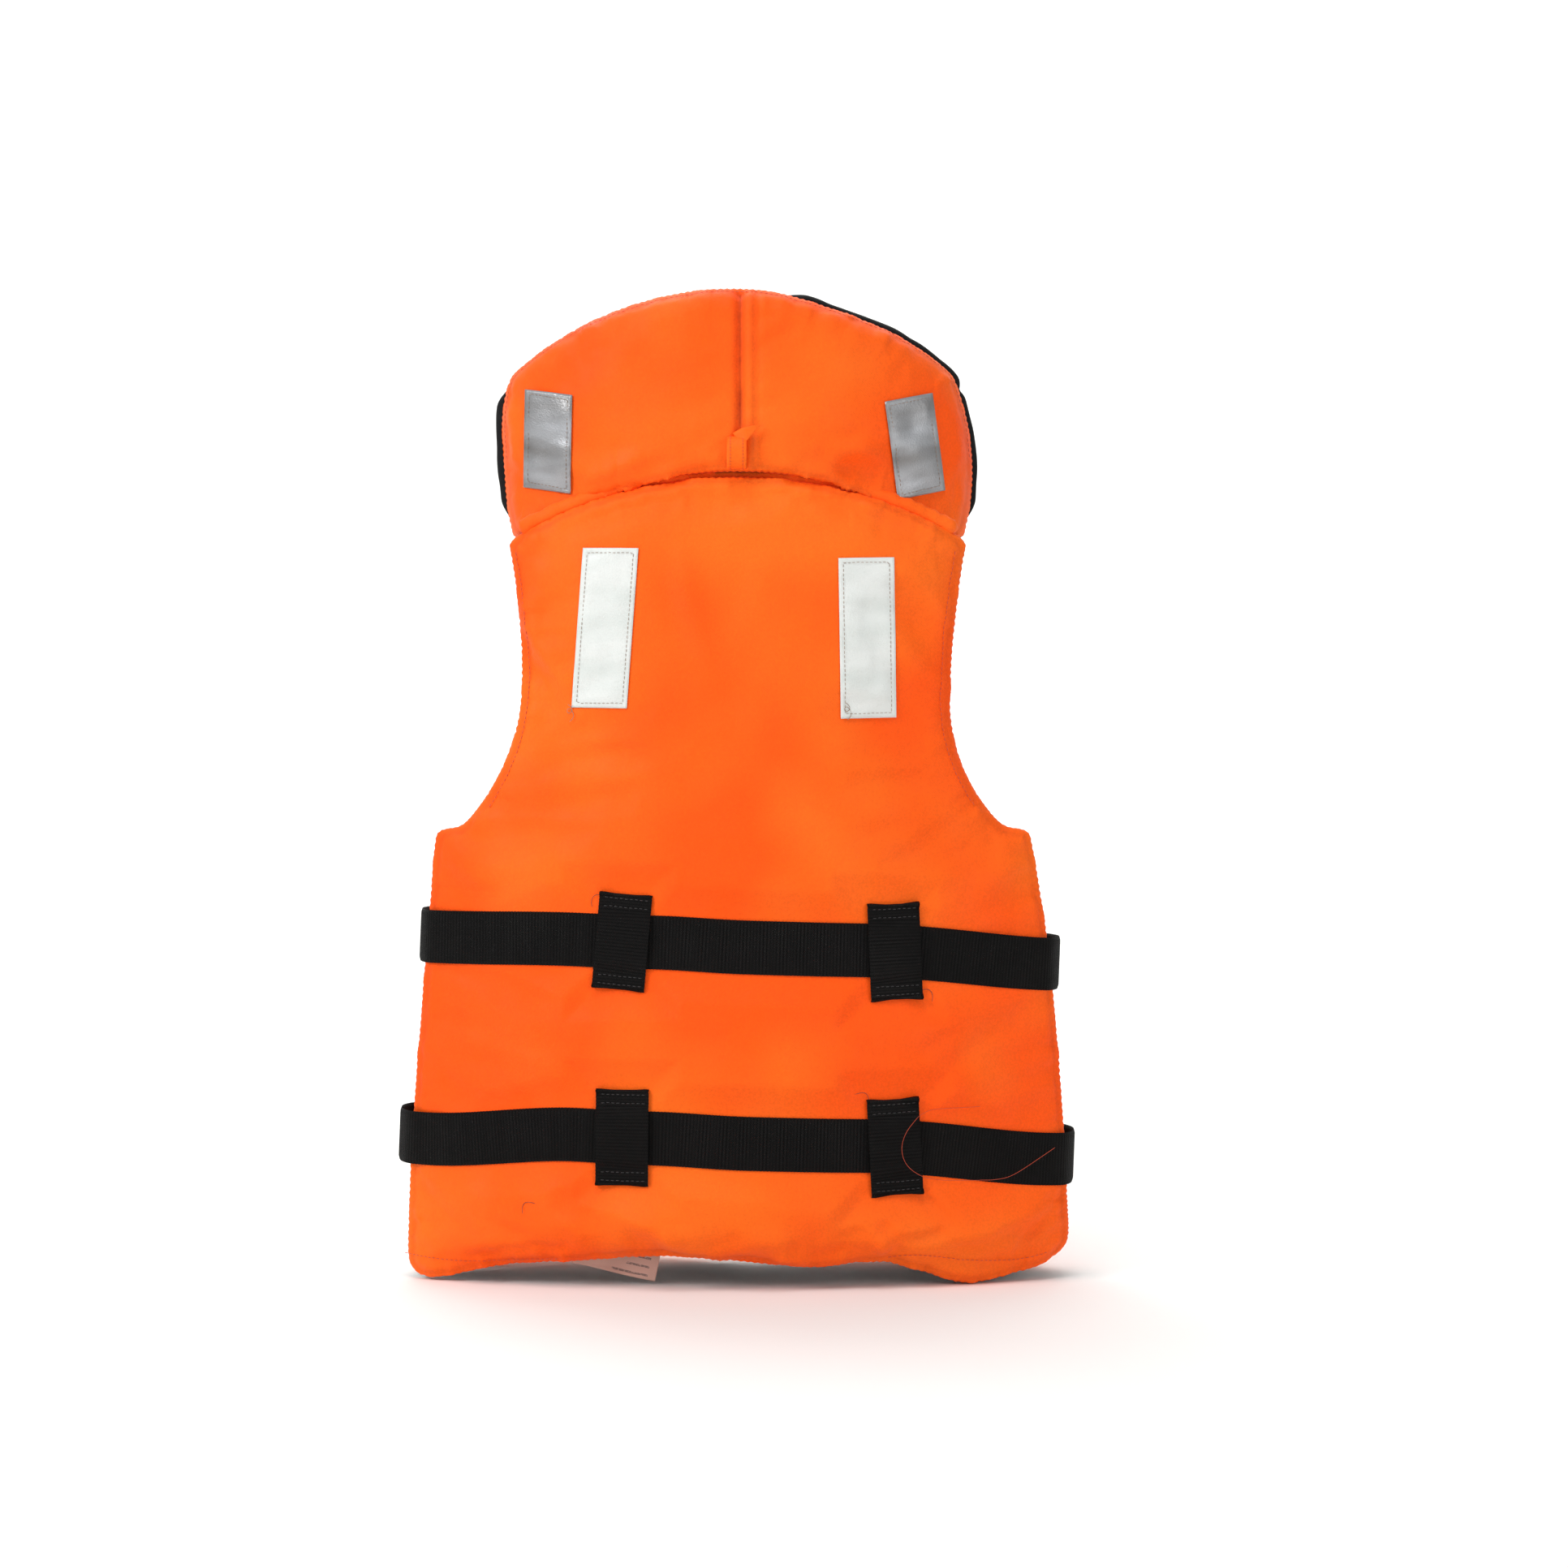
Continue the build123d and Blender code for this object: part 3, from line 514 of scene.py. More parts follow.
class Curve:
    """The foam's face before any fabric: a smooth curve in x that doesn't change with z."""

    def __init__(self, points, normals, side):
        facing = normals[:, 1] * side > 0.6
        x, y = points[facing, 0], points[facing, 1]
        cell = np.round(x / (3 * MM)).astype(int)
        cells = np.unique(cell)
        self.side = side
        self.x = cells * 3 * MM
        self.raw = np.array([np.median(y[cell == c]) for c in cells])
        self.fit = np.polynomial.Polynomial.fit(self.x, self.raw, 5)
        self.ends = self.x[0], self.x[-1]

    def at(self, x, z=None):
        """Depth in y at each x."""
        return self.fit(np.clip(x, *self.ends))

    def error(self, x):
        """How far the flat facets lie from the curve at each x."""
        return self.fit(np.clip(x, *self.ends)) - np.interp(x, self.x, self.raw)


def trued(obj):
    """Takes the flat facets out of a curved panel, and returns its outer and inner curve."""
    points, normals = read(obj), outward(obj)
    up, down = Curve(points, normals, 1), Curve(points, normals, -1)
    x = points[:, 0]
    top, low = np.interp(x, up.x, up.raw), np.interp(x, down.x, down.raw)
    share = np.clip((points[:, 1] - low) / np.maximum(top - low, 1 * MM), 0, 1)
    points[:, 1] += share * up.error(x) + (1 - share) * down.error(x)
    write(obj, points)
    return up, down


def round_edges(obj, roll, thin, joined=None):
    """Thins the panel towards its outline, as a sewn cushion does.

    Within roll of the edge the thickness follows a quarter circle, down to thin. joined
    gives, for places on the outline, how far each belongs to a seam with another panel,
    where the edge stays nearly square.
    """
    points, normals = read(obj), outward(obj)
    rim = points[abs(normals[:, 1]) < 0.4]
    far, foot = nearest_edge(points, rim)
    seam = 0.0 if joined is None else joined(foot[:, 0], foot[:, 1])
    roll = roll + (6 * MM - roll) * seam
    outer, inner = Relief(points, 1), Relief(points, -1)
    top, bottom = outer.at(points[:, 0], points[:, 2]), inner.at(points[:, 0], points[:, 2])
    centre, half = (top + bottom) / 2, (top - bottom) / 2
    t = np.clip(far / roll, 0, 1)
    left = thin / 2 / np.maximum(half, thin / 2)
    left = left + (0.82 - left) * seam
    swell = left + (1 - left) * np.sqrt(1 - (1 - t) ** 2)
    points[:, 1] = centre + (points[:, 1] - centre) * swell
    write(obj, points)
    return rim


def fabric_settles(obj, held, slack, rise, sink, pressure=4.0):
    """Lets the cover bulge and buckle over its foam with Blender's cloth.

    Points in held stay put. The cloth is cut larger than the foam by slack. No point
    rises further than rise or sinks further than sink.
    """
    before, normals = read(obj), outward(obj)
    group = obj.vertex_groups.new(name="sewn")
    group.add(np.flatnonzero(held).tolist(), 1.0, "REPLACE")
    cloth = obj.modifiers.new("fabric", "CLOTH")
    settings = cloth.settings
    settings.quality = 5
    settings.mass = 0.25
    settings.tension_stiffness = settings.compression_stiffness = 20
    settings.shear_stiffness = 8
    settings.bending_stiffness = 0.3
    settings.use_pressure = True
    settings.uniform_pressure_force = pressure
    settings.shrink_min = -slack
    settings.vertex_group_mass = "sewn"
    settings.effector_weights.gravity = 0
    cloth.point_cache.frame_start, cloth.point_cache.frame_end = 1, 20
    for step in range(1, 21):
        scene.frame_set(step)
    graph = bpy.context.evaluated_depsgraph_get()
    settled = obj.evaluated_get(graph)
    after = np.empty(len(before) * 3)
    settled.data.vertices.foreach_get("co", after)
    obj.modifiers.remove(cloth)
    obj.vertex_groups.clear()
    scene.frame_set(1)
    move = after.reshape(-1, 3) - before
    out = (move * normals).sum(1)
    along = move - out[:, None] * normals
    along *= np.minimum(1, rise / np.maximum(np.linalg.norm(along, axis=1), 1e-9))[:, None]
    write(obj, before + along + np.clip(out, -sink, rise)[:, None] * normals)


def finer(obj):
    """Divides every square in four and rounds it."""
    level = obj.modifiers.new("finer", "SUBSURF")
    level.levels = level.render_levels = 1
    keep_shape(obj)


def crease(points, start_mm, end_mm, width, height, bow=0.0):
    """A fold between two places, as a height at every point.

    The profile is a rounded ridge with a shallower groove beside it, and it fades out
    at both ends. bow bends the fold sideways in the middle, in millimetres.
    """
    a, b = np.array(start_mm) * MM, np.array(end_mm) * MM
    way = (b - a) / np.linalg.norm(b - a)
    flat = points[:, [0, 2]] - a
    along = flat @ way / np.linalg.norm(b - a)
    beside = flat @ np.array([-way[1], way[0]]) - bow * MM * np.sin(pi * np.clip(along, 0, 1))
    fade = ease(-0.15, 0.25, along) * (1 - ease(0.7, 1.15, along))
    w = width * MM
    return height * MM * fade * (hill(beside, w) - 0.6 * hill(beside - 1.7 * w, w))


def tailor(obj, rim, folds, pucker, stitch=4.0, outer=1):
    """Adds what sewing does to the cover: puckers at the edges, a stitched line and folds.

    Puckers are waves that run straight in from the nearest place on the outline.
    """
    points, normals = read(obj), outward(obj)
    far, foot = nearest_edge(points, rim)
    reach = np.exp(-np.maximum(far - stitch * MM, 0) / (13 * MM))
    wave = wander(5, 15 * MM, foot[:, 0], foot[:, 1]) + 0.6 * wander(6, 34 * MM, foot[:, 0], foot[:, 1])
    height = pucker * MM * reach * wave * ease(1 * MM, 7 * MM, far)
    height -= 1.0 * MM * hill(far - stitch * MM, 2.2 * MM)
    face = ease(0.15, 0.6, normals[:, 1] * outer)
    for fold in folds:
        height += face * crease(points, *fold)
    write(obj, points + normals * height[:, None])
    # painted shade: a dark band is marked along the stitched groove, partly wear and partly the shade in the
    # groove
    mark(obj, "seam", hill(far - stitch * MM, 1.6 * MM) * 0.35)
    return far


def gap_to_box(x, z, low, high):
    """Distance in the x-z plane from a box, zero inside it."""
    return np.maximum(np.maximum(low[0] - x, x - high[0]), np.maximum(low[2] - z, z - high[2])).clip(0)


TILT = np.tan(BELT_LEAN)
SINKS = {"upper": (4 * MM, 7 * MM), "lower": (12 * MM, 9.5 * MM)}


def sunk(name, x):
    """How far a belt on the back lies below its straight line: it sinks towards the sides."""
    left, right = SINKS[name]
    return np.where(x > 0, left, right) * ease(0.110, 0.235, abs(x))


def under_straps(x, z, belts, loops):
    """Distance in the x-z plane from the nearest belt or belt loop, zero under one."""
    gaps = [gap_to_box(x, z, *span(node)) for node in loops]
    for node in belts:
        low_by = sunk(node.split("_")[-1], x) if node.startswith("back") else 0
        gaps.append((abs(z - middle(node)[2] - x * TILT + low_by) - 20 * MM).clip(0))
    return np.min(gaps, axis=0)


def pressed(obj, bare, belts, loops):
    """Holds the cover down to its foam under the straps, and lets it swell beside them.

    The cover may rise 12 mm above the foam, but only as an S-shaped curve reaches 42 mm
    from the strap.
    """
    points = read(obj)
    x, z = points[:, 0], points[:, 2]
    far = under_straps(x, z, belts, loops)
    limit = bare.side * bare.at(x, z) + 12 * MM * ease(-4 * MM, 42 * MM, far) + 0.1 * MM
    height = np.minimum(points[:, 1] * bare.side, limit)
    points[:, 1] = np.where(outward(obj)[:, 1] * bare.side > 0.1, height * bare.side, points[:, 1])
    write(obj, points)


def back_neck(x, z):
    """How far a place on the back's outline belongs to the seam with the collar."""
    return ease(0.520, 0.535, z) * (1 - ease(0.145, 0.163, abs(x)))


def collar_foot(x, z):
    """How far a place on the collar's outline belongs to that same seam."""
    return (1 - ease(0.588, 0.596, z)) * (1 - ease(0.150, 0.164, abs(x)))


BACK_NODES = ["back_cover", "back_foam_inner", "back_foam_outer", "back_lining"]
back = closed_skin("back_panel", BACK_NODES, 5 * MM)
back_bare, _ = trued(back)
back_rim = round_edges(back, 24 * MM, 5 * MM, back_neck)
far, _ = nearest_edge(read(back), back_rim)
fabric_settles(back, far < 6 * MM, 0.02, 7 * MM, 1.0 * MM)
finer(back)
BACK_FOLDS = [
    ((40, 528), (16, 448), 9, 2.2, 4), ((-22, 520), (-8, 462), 12, 1.3, -3),
    ((154, 500), (118, 432), 8, 3.2, 6), ((150, 478), (112, 402), 10, 2.4, -5),
    ((148, 536), (96, 545), 8, 2.0, 0), ((-112, 520), (-155, 470), 8, 3.0, -5),
    ((-104, 486), (-158, 424), 9, 3.2, 6), ((-120, 440), (-152, 396), 8, 1.8, 0),
    ((-12, 440), (-26, 398), 12, 1.6, 0), ((62, 420), (20, 372), 16, 1.5, 5),
    ((128, 48), (74, 26), 8, 3.0, 3), ((60, 34), (6, 22), 9, 2.6, -3),
    ((-18, 30), (-86, 20), 8, 3.2, 4), ((-96, 22), (-150, 54), 7, 3.0, -4),
    ((-150, 60), (-206, 22), 9, 3.4, 5), ((212, 40), (168, 18), 8, 2.0, 3),
    ((206, 318), (176, 286), 10, 2.0, 3), ((-206, 310), (-172, 280), 10, 2.4, -3),
    ((186, 300), (120, 268), 14, 1.4, 4), ((-188, 290), (-120, 268), 14, 1.4, -4),
    ((128, 78), (84, 26), 12, -3.0, 5), ((81, 52), (38, 28), 8, 3.2, -3),
    ((-106, 22), (-92, 46), 6, 3.2, 2), ((-112, 24), (-224, 46), 8, 3.6, -6),
    ((-30, 66), (-92, 60), 14, 2.0, 3), ((20, 24), (-40, 42), 7, 2.4, -2),
    ((70, 560), (0, 571), 9, 1.6, -3), ((-20, 570), (-96, 554), 9, 1.8, 3),
]
tailor(back, back_rim, BACK_FOLDS, 1.1)


BELTS = ("back_belt_upper", "back_belt_lower")
LOOPS = [f"loop_{k}_{side}" for k in ("upper", "lower") for side in ("left", "right")]
HEM = np.array([
    (-250, 20), (-228, 14), (-216, 9.4), (-204, 7), (-192, 4), (-180, 1.8), (-169, 0.3), (-157, 1.8),
    (-145, 6), (-133, 10), (-121, 14), (-108, 18), (-86, 18.5), (-60, 16.5), (-27, 17.5), (5, 21),
    (50, 23.6), (80, 22), (110, 19), (138, 17), (162, 15), (185, 11), (198, 7),
    (209, 4), (233, 0.5), (250, 3),
]) * MM


def rehung(points, profile, reach=75 * MM):
    """Moves the hem up or down to a profile of height against x, and the armholes sideways.

    The hem's shift fades out upwards. The armholes lean by up to 4 mm, since the panels
    aren't cut quite even.
    """
    points = points.copy()
    x, z = points[:, 0].copy(), points[:, 2].copy()
    arch = 21 * MM * (1 - np.clip(x / (170 * MM), -1, 1) ** 2)
    shift = np.interp(x, profile[:, 0], profile[:, 1]) - arch
    points[:, 2] = z + shift * (1 - ease(arch, arch + reach, z))
    points[:, 0] = x + 4 * MM * hill(z - 0.350, 0.075)
    return points


pressed(back, back_bare, BELTS, ["back_" + k for k in LOOPS])
write(back, rehung(read(back), HEM))
back_rim = rehung(back_rim, HEM)
smooth(back)
back.data.materials.append(ORANGE)


def top_edge_of(obj, x):
    """Height of a panel's upper edge at each x: the highest point in an 8 mm band."""
    points = read(obj)
    return np.array([points[abs(points[:, 0] - k) < 4 * MM, 2].max() for k in x])


COLLAR_NODES = ["collar_cover", "collar_foam_left", "collar_foam_right", "collar_lining"]
collar = closed_skin("collar_pad", COLLAR_NODES, 4.5 * MM)
trued(collar)
collar_rim = round_edges(collar, 19 * MM, 6 * MM, collar_foot)
far, _ = nearest_edge(read(collar), collar_rim)
centre_line = abs(read(collar)[:, 0]) < 4 * MM
fabric_settles(collar, (far < 5 * MM) | centre_line, 0.015, 6 * MM, 1.0 * MM)
finer(collar)
COLLAR_FOLDS = [
    ((128, 590), (64, 592), 9, 3.4, 4), ((110, 578), (52, 600), 6, 2.2, -3),
    ((-70, 592), (-122, 572), 8, -4.0, 3), ((-58, 600), (-110, 596), 7, 2.6, -3),
    ((-96, 604), (-60, 586), 6, 2.0, 2), ((156, 640), (160, 590), 5, 1.6, 2),
    ((-154, 640), (-160, 592), 5, 1.6, -2), ((24, 600), (12, 592), 6, 1.6, 0),
    ((140, 660), (96, 688), 12, 1.0, 3), ((-130, 668), (-84, 694), 12, 1.0, -3),
]
far_collar = tailor(collar, collar_rim, COLLAR_FOLDS, 0.9, 3.5)
points, normals = read(collar), outward(collar)
face = ease(0.2, 0.6, normals[:, 1])
inner = ease(0.2, 0.6, -normals[:, 1])
seam_x = points[:, 0] + 2 * MM
groove = -4.2 * MM * hill(seam_x, 3.0 * MM) + 1.4 * MM * hill(seam_x + 8 * MM, 3.2 * MM)
groove -= 0.9 * MM * hill(seam_x + 13 * MM, 2.5 * MM)
points += normals * (face * groove - inner * 2.5 * MM * hill(points[:, 0], 3.5 * MM))[:, None]


def uneven(points):
    """The collar's own slight unevenness: fuller at +X, and flatter along the top at -X."""
    points = points.copy()
    x, z = points[:, 0].copy(), points[:, 2].copy()
    points[:, 0] += 9 * MM * np.clip(x / 0.16, 0, 1) * ease(0.585, 0.660, z)
    points[:, 2] -= 4 * MM * hill(x + 0.075, 0.045) * ease(0.640, 0.700, z)
    return points


x, z = points[:, 0].copy(), points[:, 2].copy()
points, collar_rim = uneven(points), uneven(collar_rim)
# the foot of the collar hangs over the seam with the back, most of all in two folds
foot = np.interp(x, np.linspace(-0.165, 0.165, 60), top_edge_of(back, np.linspace(-0.165, 0.165, 60)))
near = 1 - ease(0, 26 * MM, z - foot)
folds = 0.35 + 0.8 * hill(x - 0.088, 0.040) + 0.7 * hill(x + 0.098, 0.034) - 0.3 * hill(x, 0.035)
points[:, 2] -= face * near * folds * 5.5 * MM
points[:, 1] += face * near * (1 - 0.4 * near) * folds * 3.0 * MM
write(collar, points)
# painted shade: the collar's deep centre seam groove and the fold beside it are marked dark, with wear along
# the topstitch
seam_groove_shade = hill(x + 2 * MM, 2.4 * MM) * 0.95 + 0.35 * hill(x + 11 * MM, 1.5 * MM)
mark(collar, "seam", np.maximum(seam_groove_shade * face, 0.3 * hill(far_collar - 3.5 * MM, 1.6 * MM)))
smooth(collar)
collar.data.materials.append(ORANGE)
collar.data.materials.append(BLACK_CLOTH)


def evened(obj, value, rounds):
    """A value at each point, averaged with its neighbours again and again."""
    ends = np.empty(len(obj.data.edges) * 2, np.int32)
    obj.data.edges.foreach_get("vertices", ends)
    a, b = ends.reshape(-1, 2).T
    size = len(value)
    beside = np.bincount(a, minlength=size) + np.bincount(b, minlength=size)
    for _ in range(rounds):
        total = np.bincount(a, value[b], size) + np.bincount(b, value[a], size)
        value = (value + total / beside) / 2
    return value


def dress_inside(obj, side, limit):
    """Gives the inner face the second material, up to a smooth line along its edge.

    Each point's value is how far it faces the side, evened out over its neighbours. Faces
    whose mean value is below limit are lined.
    """
    value = evened(obj, outward(obj)[:, 1] * side, 40)
    corner, first = np.empty(len(obj.data.loops), np.int32), np.empty(len(obj.data.polygons), np.int32)
    obj.data.loops.foreach_get("vertex_index", corner)
    obj.data.polygons.foreach_get("loop_start", first)
    mean = np.add.reduceat(value[corner], first) / np.diff(np.r_[first, len(corner)])
    obj.data.polygons.foreach_set("material_index", (mean < limit).astype(np.int32))
    obj.data.update()


dress_inside(collar, 1, 0.1)
back.data.materials.append(BLACK_CLOTH)
dress_inside(back, 1, -0.45)

fronts, front_bare = {}, {}
FRONT_HEM = {"left": HEM.copy(), "right": HEM.copy()}
FRONT_HEM["left"][:, 1] += np.where(FRONT_HEM["left"][:, 0] > 60 * MM, 5 * MM, -11 * MM)
FRONT_HEM["right"][:, 1] += 4 * MM
FRONT_FOLDS = [
    ((60, 500), (96, 440), 10, 2.4, 4), ((148, 470), (116, 400), 9, 2.8, 5),
    ((200, 300), (150, 272), 12, 2.2, 3), ((40, 200), (90, 180), 14, 1.8, 4),
    ((180, 60), (120, 30), 9, 2.6, 3), ((60, 40), (30, 90), 10, 2.2, 3),
    ((30, 380), (70, 340), 12, 2.0, -4), ((90, 540), (140, 520), 8, 2.0, 3),
]
for side, s in (("left", 1), ("right", -1)):
    nodes = [f"front_{part}_{side}" for part in ("cover", "foam_inner", "foam_outer", "lining")]
    pad = closed_skin(f"front_panel_{side}", nodes, 5 * MM)
    front_bare[side] = trued(pad)[1]
    rim = round_edges(pad, 20 * MM, 5 * MM)
    far, _ = nearest_edge(read(pad), rim)
    fabric_settles(pad, far < 6 * MM, 0.02, 6 * MM, 1.0 * MM)
    finer(pad)
    folds = [((s * a[0], a[1]), (s * b[0], b[1]), w, h, s * bow) for a, b, w, h, bow in FRONT_FOLDS]
    tailor(pad, rim, folds, 1.1, 4.0, -1)
    pressed(pad, front_bare[side], BELTS, [f"front_loop_{k}_{side}" for k in ("upper", "lower")])
    write(pad, rehung(read(pad), FRONT_HEM[side]))
    rim = rehung(rim, FRONT_HEM[side])
    smooth(pad)
    pad.data.materials.append(ORANGE)
    pad.data.materials.append(BLACK_CLOTH)
    dress_inside(pad, -1, -0.45)
    fronts[side] = (pad, rim, nodes)

back_map = Relief(read(back), 1, 3 * MM, 2)
collar_map = Relief(read(collar), 1, 3 * MM, 2)
front_map = {side: Relief(read(pad), -1, 3 * MM, 2) for side, (pad, _, _) in fronts.items()}

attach(back, "back")
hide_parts(*BACK_NODES)
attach(collar, "collar")
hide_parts(*COLLAR_NODES)
for side, (pad, _, nodes) in fronts.items():
    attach(pad, f"front_{side}")
    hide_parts(*nodes)


# ================================================================ strips and stitches
def even_steps(path, step, rounds=0):
    """The same line with points a step apart, its corners softened by averaging."""
    path = relaxed(path, rounds)
    gone = np.r_[0, np.cumsum(np.linalg.norm(np.diff(path, axis=0), axis=1))]
    count = max(int(gone[-1] / step), 2)
    want = np.linspace(0, gone[-1], count + 1)
    return np.stack([np.interp(want, gone, path[:, k]) for k in range(3)], 1), want


def section(count, power):
    """The outline of a flat strip: places across it from -1 to 1 and back, and out of it.

    Its rounded edges are the square root of one minus a high power of the place across.
    """
    half = np.linspace(-1, 1, count)
    across = np.r_[half, half[::-1]]
    side = np.r_[np.ones(count), -np.ones(count)]
    return across, side * np.sqrt(np.clip(1 - np.abs(across) ** power, 0, 1))


def swept(name, line, gone, across, v, n, width, material):
    """A strip carried along a line, with v across it and n out of it at each point of its section.

    The UV map holds the distance along the strip and across it, in metres.
    """
    across = across / np.linalg.norm(across)
    tangent = unit(np.gradient(line, axis=0))
    wide = unit(across - tangent * (tangent @ across)[:, None])
    up = np.cross(tangent, wide)
    points = line[:, None] + v[..., None] * wide[:, None] + n[..., None] * up[:, None]
    rows, ring = v.shape
    faces = squares(rows, ring, wrap_columns=True).tolist()
    faces += [list(range(ring)), list(range((rows - 1) * ring, rows * ring))]
    mesh = bpy.data.meshes.new(name)
    mesh.from_pydata(points.reshape(-1, 3).tolist(), [], faces)
    unfold(mesh, np.stack([np.broadcast_to(gone[:, None], v.shape), v + width / 2], -1))
    obj = smooth(link(name, mesh))
    mesh.materials.append(material)
    face_out(obj)
    return obj


def webbing(name, path, across, width, thick, pitch=2.4 * MM, finest=0.6 * MM):
    """Woven webbing along a line, with a rounded rib every pitch and scalloped edges.

    The ribs are the absolute value of a sine along the strip. across is the direction of
    its width.
    """
    line, gone = even_steps(path, finest)
    rib = np.abs(np.sin(pi * gone / pitch))[:, None]
    ring_v, ring_n = section(15, 14)
    v = ring_v * (width / 2 + 0.25 * MM * rib)
    n = ring_n * (thick / 2 - 0.32 * MM + 0.32 * MM * rib)
    return swept(name, line, gone, across, v, n, width, WEBBING)


def ribbon(name, path, across, width, thick, material, rib=0.0, pitch=0.9 * MM, step=1.0 * MM,
           scallop=0.0, taper=None):
    """A flat sewn strip along a line, with rounded edges and an optional fine rib."""
    line, gone = even_steps(path, step)
    hollow = np.abs(np.sin(pi * gone / pitch))
    ring_v, ring_n = section(11, 12)
    half = width / 2 * (np.ones(len(gone)) if taper is None else np.interp(gone / gone[-1], *taper))
    v = ring_v * (half + scallop * hollow)[:, None]
    n = ring_n * (thick / 2 - rib * (1 - hollow))[:, None]
    return swept(name, line, gone, across, v, n, width, material)


def stitches(name, path, normal, material, long=2.6 * MM, gap=1.1 * MM, thick=0.32 * MM, wobble=0.0, seed=1):
    """Sewn dashes along a line: each is a short six-sided thread that dips at both ends."""
    pitch = long + gap
    line, _ = even_steps(path, pitch)
    a = line[:-1]
    way = unit(line[1:] - a)
    n = np.broadcast_to(normal, line.shape)[:-1]
    n = unit(n - way * (n * way).sum(1)[:, None])
    sidewise = np.cross(way, n)
    rng = np.random.default_rng(seed)
    slip = rng.normal(0, wobble + 1e-9, (len(a), 1, 1)) * sidewise[:, None]
    t = np.array([0.0, 0.25, 0.5, 0.75, 1.0])
    lift = np.array([-0.5, 0.7, 1.0, 0.7, -0.5]) * thick * 0.6
    size = np.array([0.5, 0.95, 1.0, 0.95, 0.5]) * thick / 2 * 1.2
    angle = np.arange(6) * pi / 3
    core = a[:, None] + way[:, None] * (t * long)[None, :, None] + n[:, None] * lift[None, :, None] + slip
    shape = sidewise[:, None, None] * np.cos(angle)[:, None] + n[:, None, None] * np.sin(angle)[:, None]
    points = core[:, :, None] + shape * size[None, :, None, None]
    one = squares(5, 6, wrap_columns=True)
    faces = (one[None] + (np.arange(len(a)) * 30)[:, None, None]).reshape(-1, 4)
    return skin(name, points, faces, material)


def sheet_on(name, corners, surface, material, thick=0.5 * MM, lift=0.5 * MM, wave=0.35, step=2.0 * MM,
             seed=3):
    """A thin patch laid on a cover, with the slight waves that sewing leaves in it.

    corners are its four corners as x and z, in order round it.
    """
    corners = np.array(corners)
    wide = np.linalg.norm(corners[1] - corners[0])
    tall = np.linalg.norm(corners[3] - corners[0])
    u = np.linspace(0, 1, int(wide / step) + 2)[None, :, None]
    v = np.linspace(0, 1, int(tall / step) + 2)[:, None, None]
    flat = (corners[0] * (1 - u) + corners[1] * u) * (1 - v) + (corners[3] * (1 - u) + corners[2] * u) * v
    edge = np.minimum(np.minimum(u, 1 - u) * wide, np.minimum(v, 1 - v) * tall)[..., 0]
    ripple = wander(seed, 24 * MM, flat[..., 0], flat[..., 1]) * wave * MM
    ripple = ripple * ease(0, 5 * MM, edge)
    sunken = 0.25 * MM * hill(edge - 3.4 * MM, 1.2 * MM)
    depth = surface.at(flat[..., 0], flat[..., 1]) + surface.side * (lift + ripple - sunken)
    top = np.stack([flat[..., 0], depth + surface.side * thick / 2, flat[..., 1]], -1)
    under = top - np.array([0, surface.side * thick, 0])
    rows, columns = top.shape[:2]
    points = np.stack([top, under])
    near = squares(rows, columns)
    n = rows * columns
    loop = np.r_[np.arange(columns), np.arange(1, rows) * columns + columns - 1,
                 (rows - 1) * columns + np.arange(columns - 2, -1, -1), np.arange(rows - 2, 0, -1) * columns]
    after = np.roll(loop, -1)
    rim = np.stack([loop, after, after + n, loop + n], 1)
    faces = np.vstack([near, near[:, ::-1] + n, rim])
    uv = np.stack([np.broadcast_to(u[..., 0] * wide, (rows, columns)),
                   np.broadcast_to(v[..., 0] * tall, (rows, columns))], -1)
    return skin(name, points, faces, material, np.stack([uv, uv]))


def on_surface(flat, surface, lift):
    """Places given as x and z, raised off a surface."""
    flat = np.asarray(flat, float)
    return np.stack([flat[:, 0], surface.at(flat[:, 0], flat[:, 1]) + surface.side * lift, flat[:, 1]], 1)


def joined_line(corners, step=2 * MM):
    """Straight runs between places, as close points."""
    corners = np.asarray(corners, float)
    runs = zip(corners, corners[1:])
    return np.vstack([np.linspace(a, b, max(int(np.linalg.norm(b - a) / step), 2)) for a, b in runs])


def turned_corners(half, degrees, skew=0.0):
    """The corners of a rectangle about the origin and of its turn, as two arrays."""
    turn = radians(degrees)
    spin = np.array([[np.cos(turn), -np.sin(turn)], [np.sin(turn), np.cos(turn)]])
    box = np.array([[-1, -1], [1, -1], [1, 1], [-1, 1]]) * half
    box[:, 1] += skew * np.sign(box[:, 0])
    return box, spin.T


def patch(name, node, surface, material, slot, body, lean, thread, shift=(0, 0), skew=0.0, wave=0.35, seed=3):
    """A reflective patch with its sewn border, placed on its CAD node and turned by lean degrees."""
    low, high = span(node)
    centre, size = (low + high)[[0, 2]] / 2 + np.array(shift) * MM, (high - low)[[0, 2]] / 2
    box, spin = turned_corners(size, lean, skew * MM)
    corners = centre + box @ spin
    tape = sheet_on(name, corners, surface, material, lift=(0.4 + wave) * MM, wave=wave, seed=seed)
    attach(tape, body)
    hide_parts(node)
    inside = centre + (box - np.sign(box) * 3.4 * MM) @ spin
    line = on_surface(joined_line(np.vstack([inside, inside[:1]])), surface, (0.75 + wave) * MM)
    sewn = stitches(name + "_stitches", line, Y * surface.side, thread, 2.3 * MM, 0.9 * MM, 0.3 * MM,
                    0.08 * MM, seed)
    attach(sewn, body)


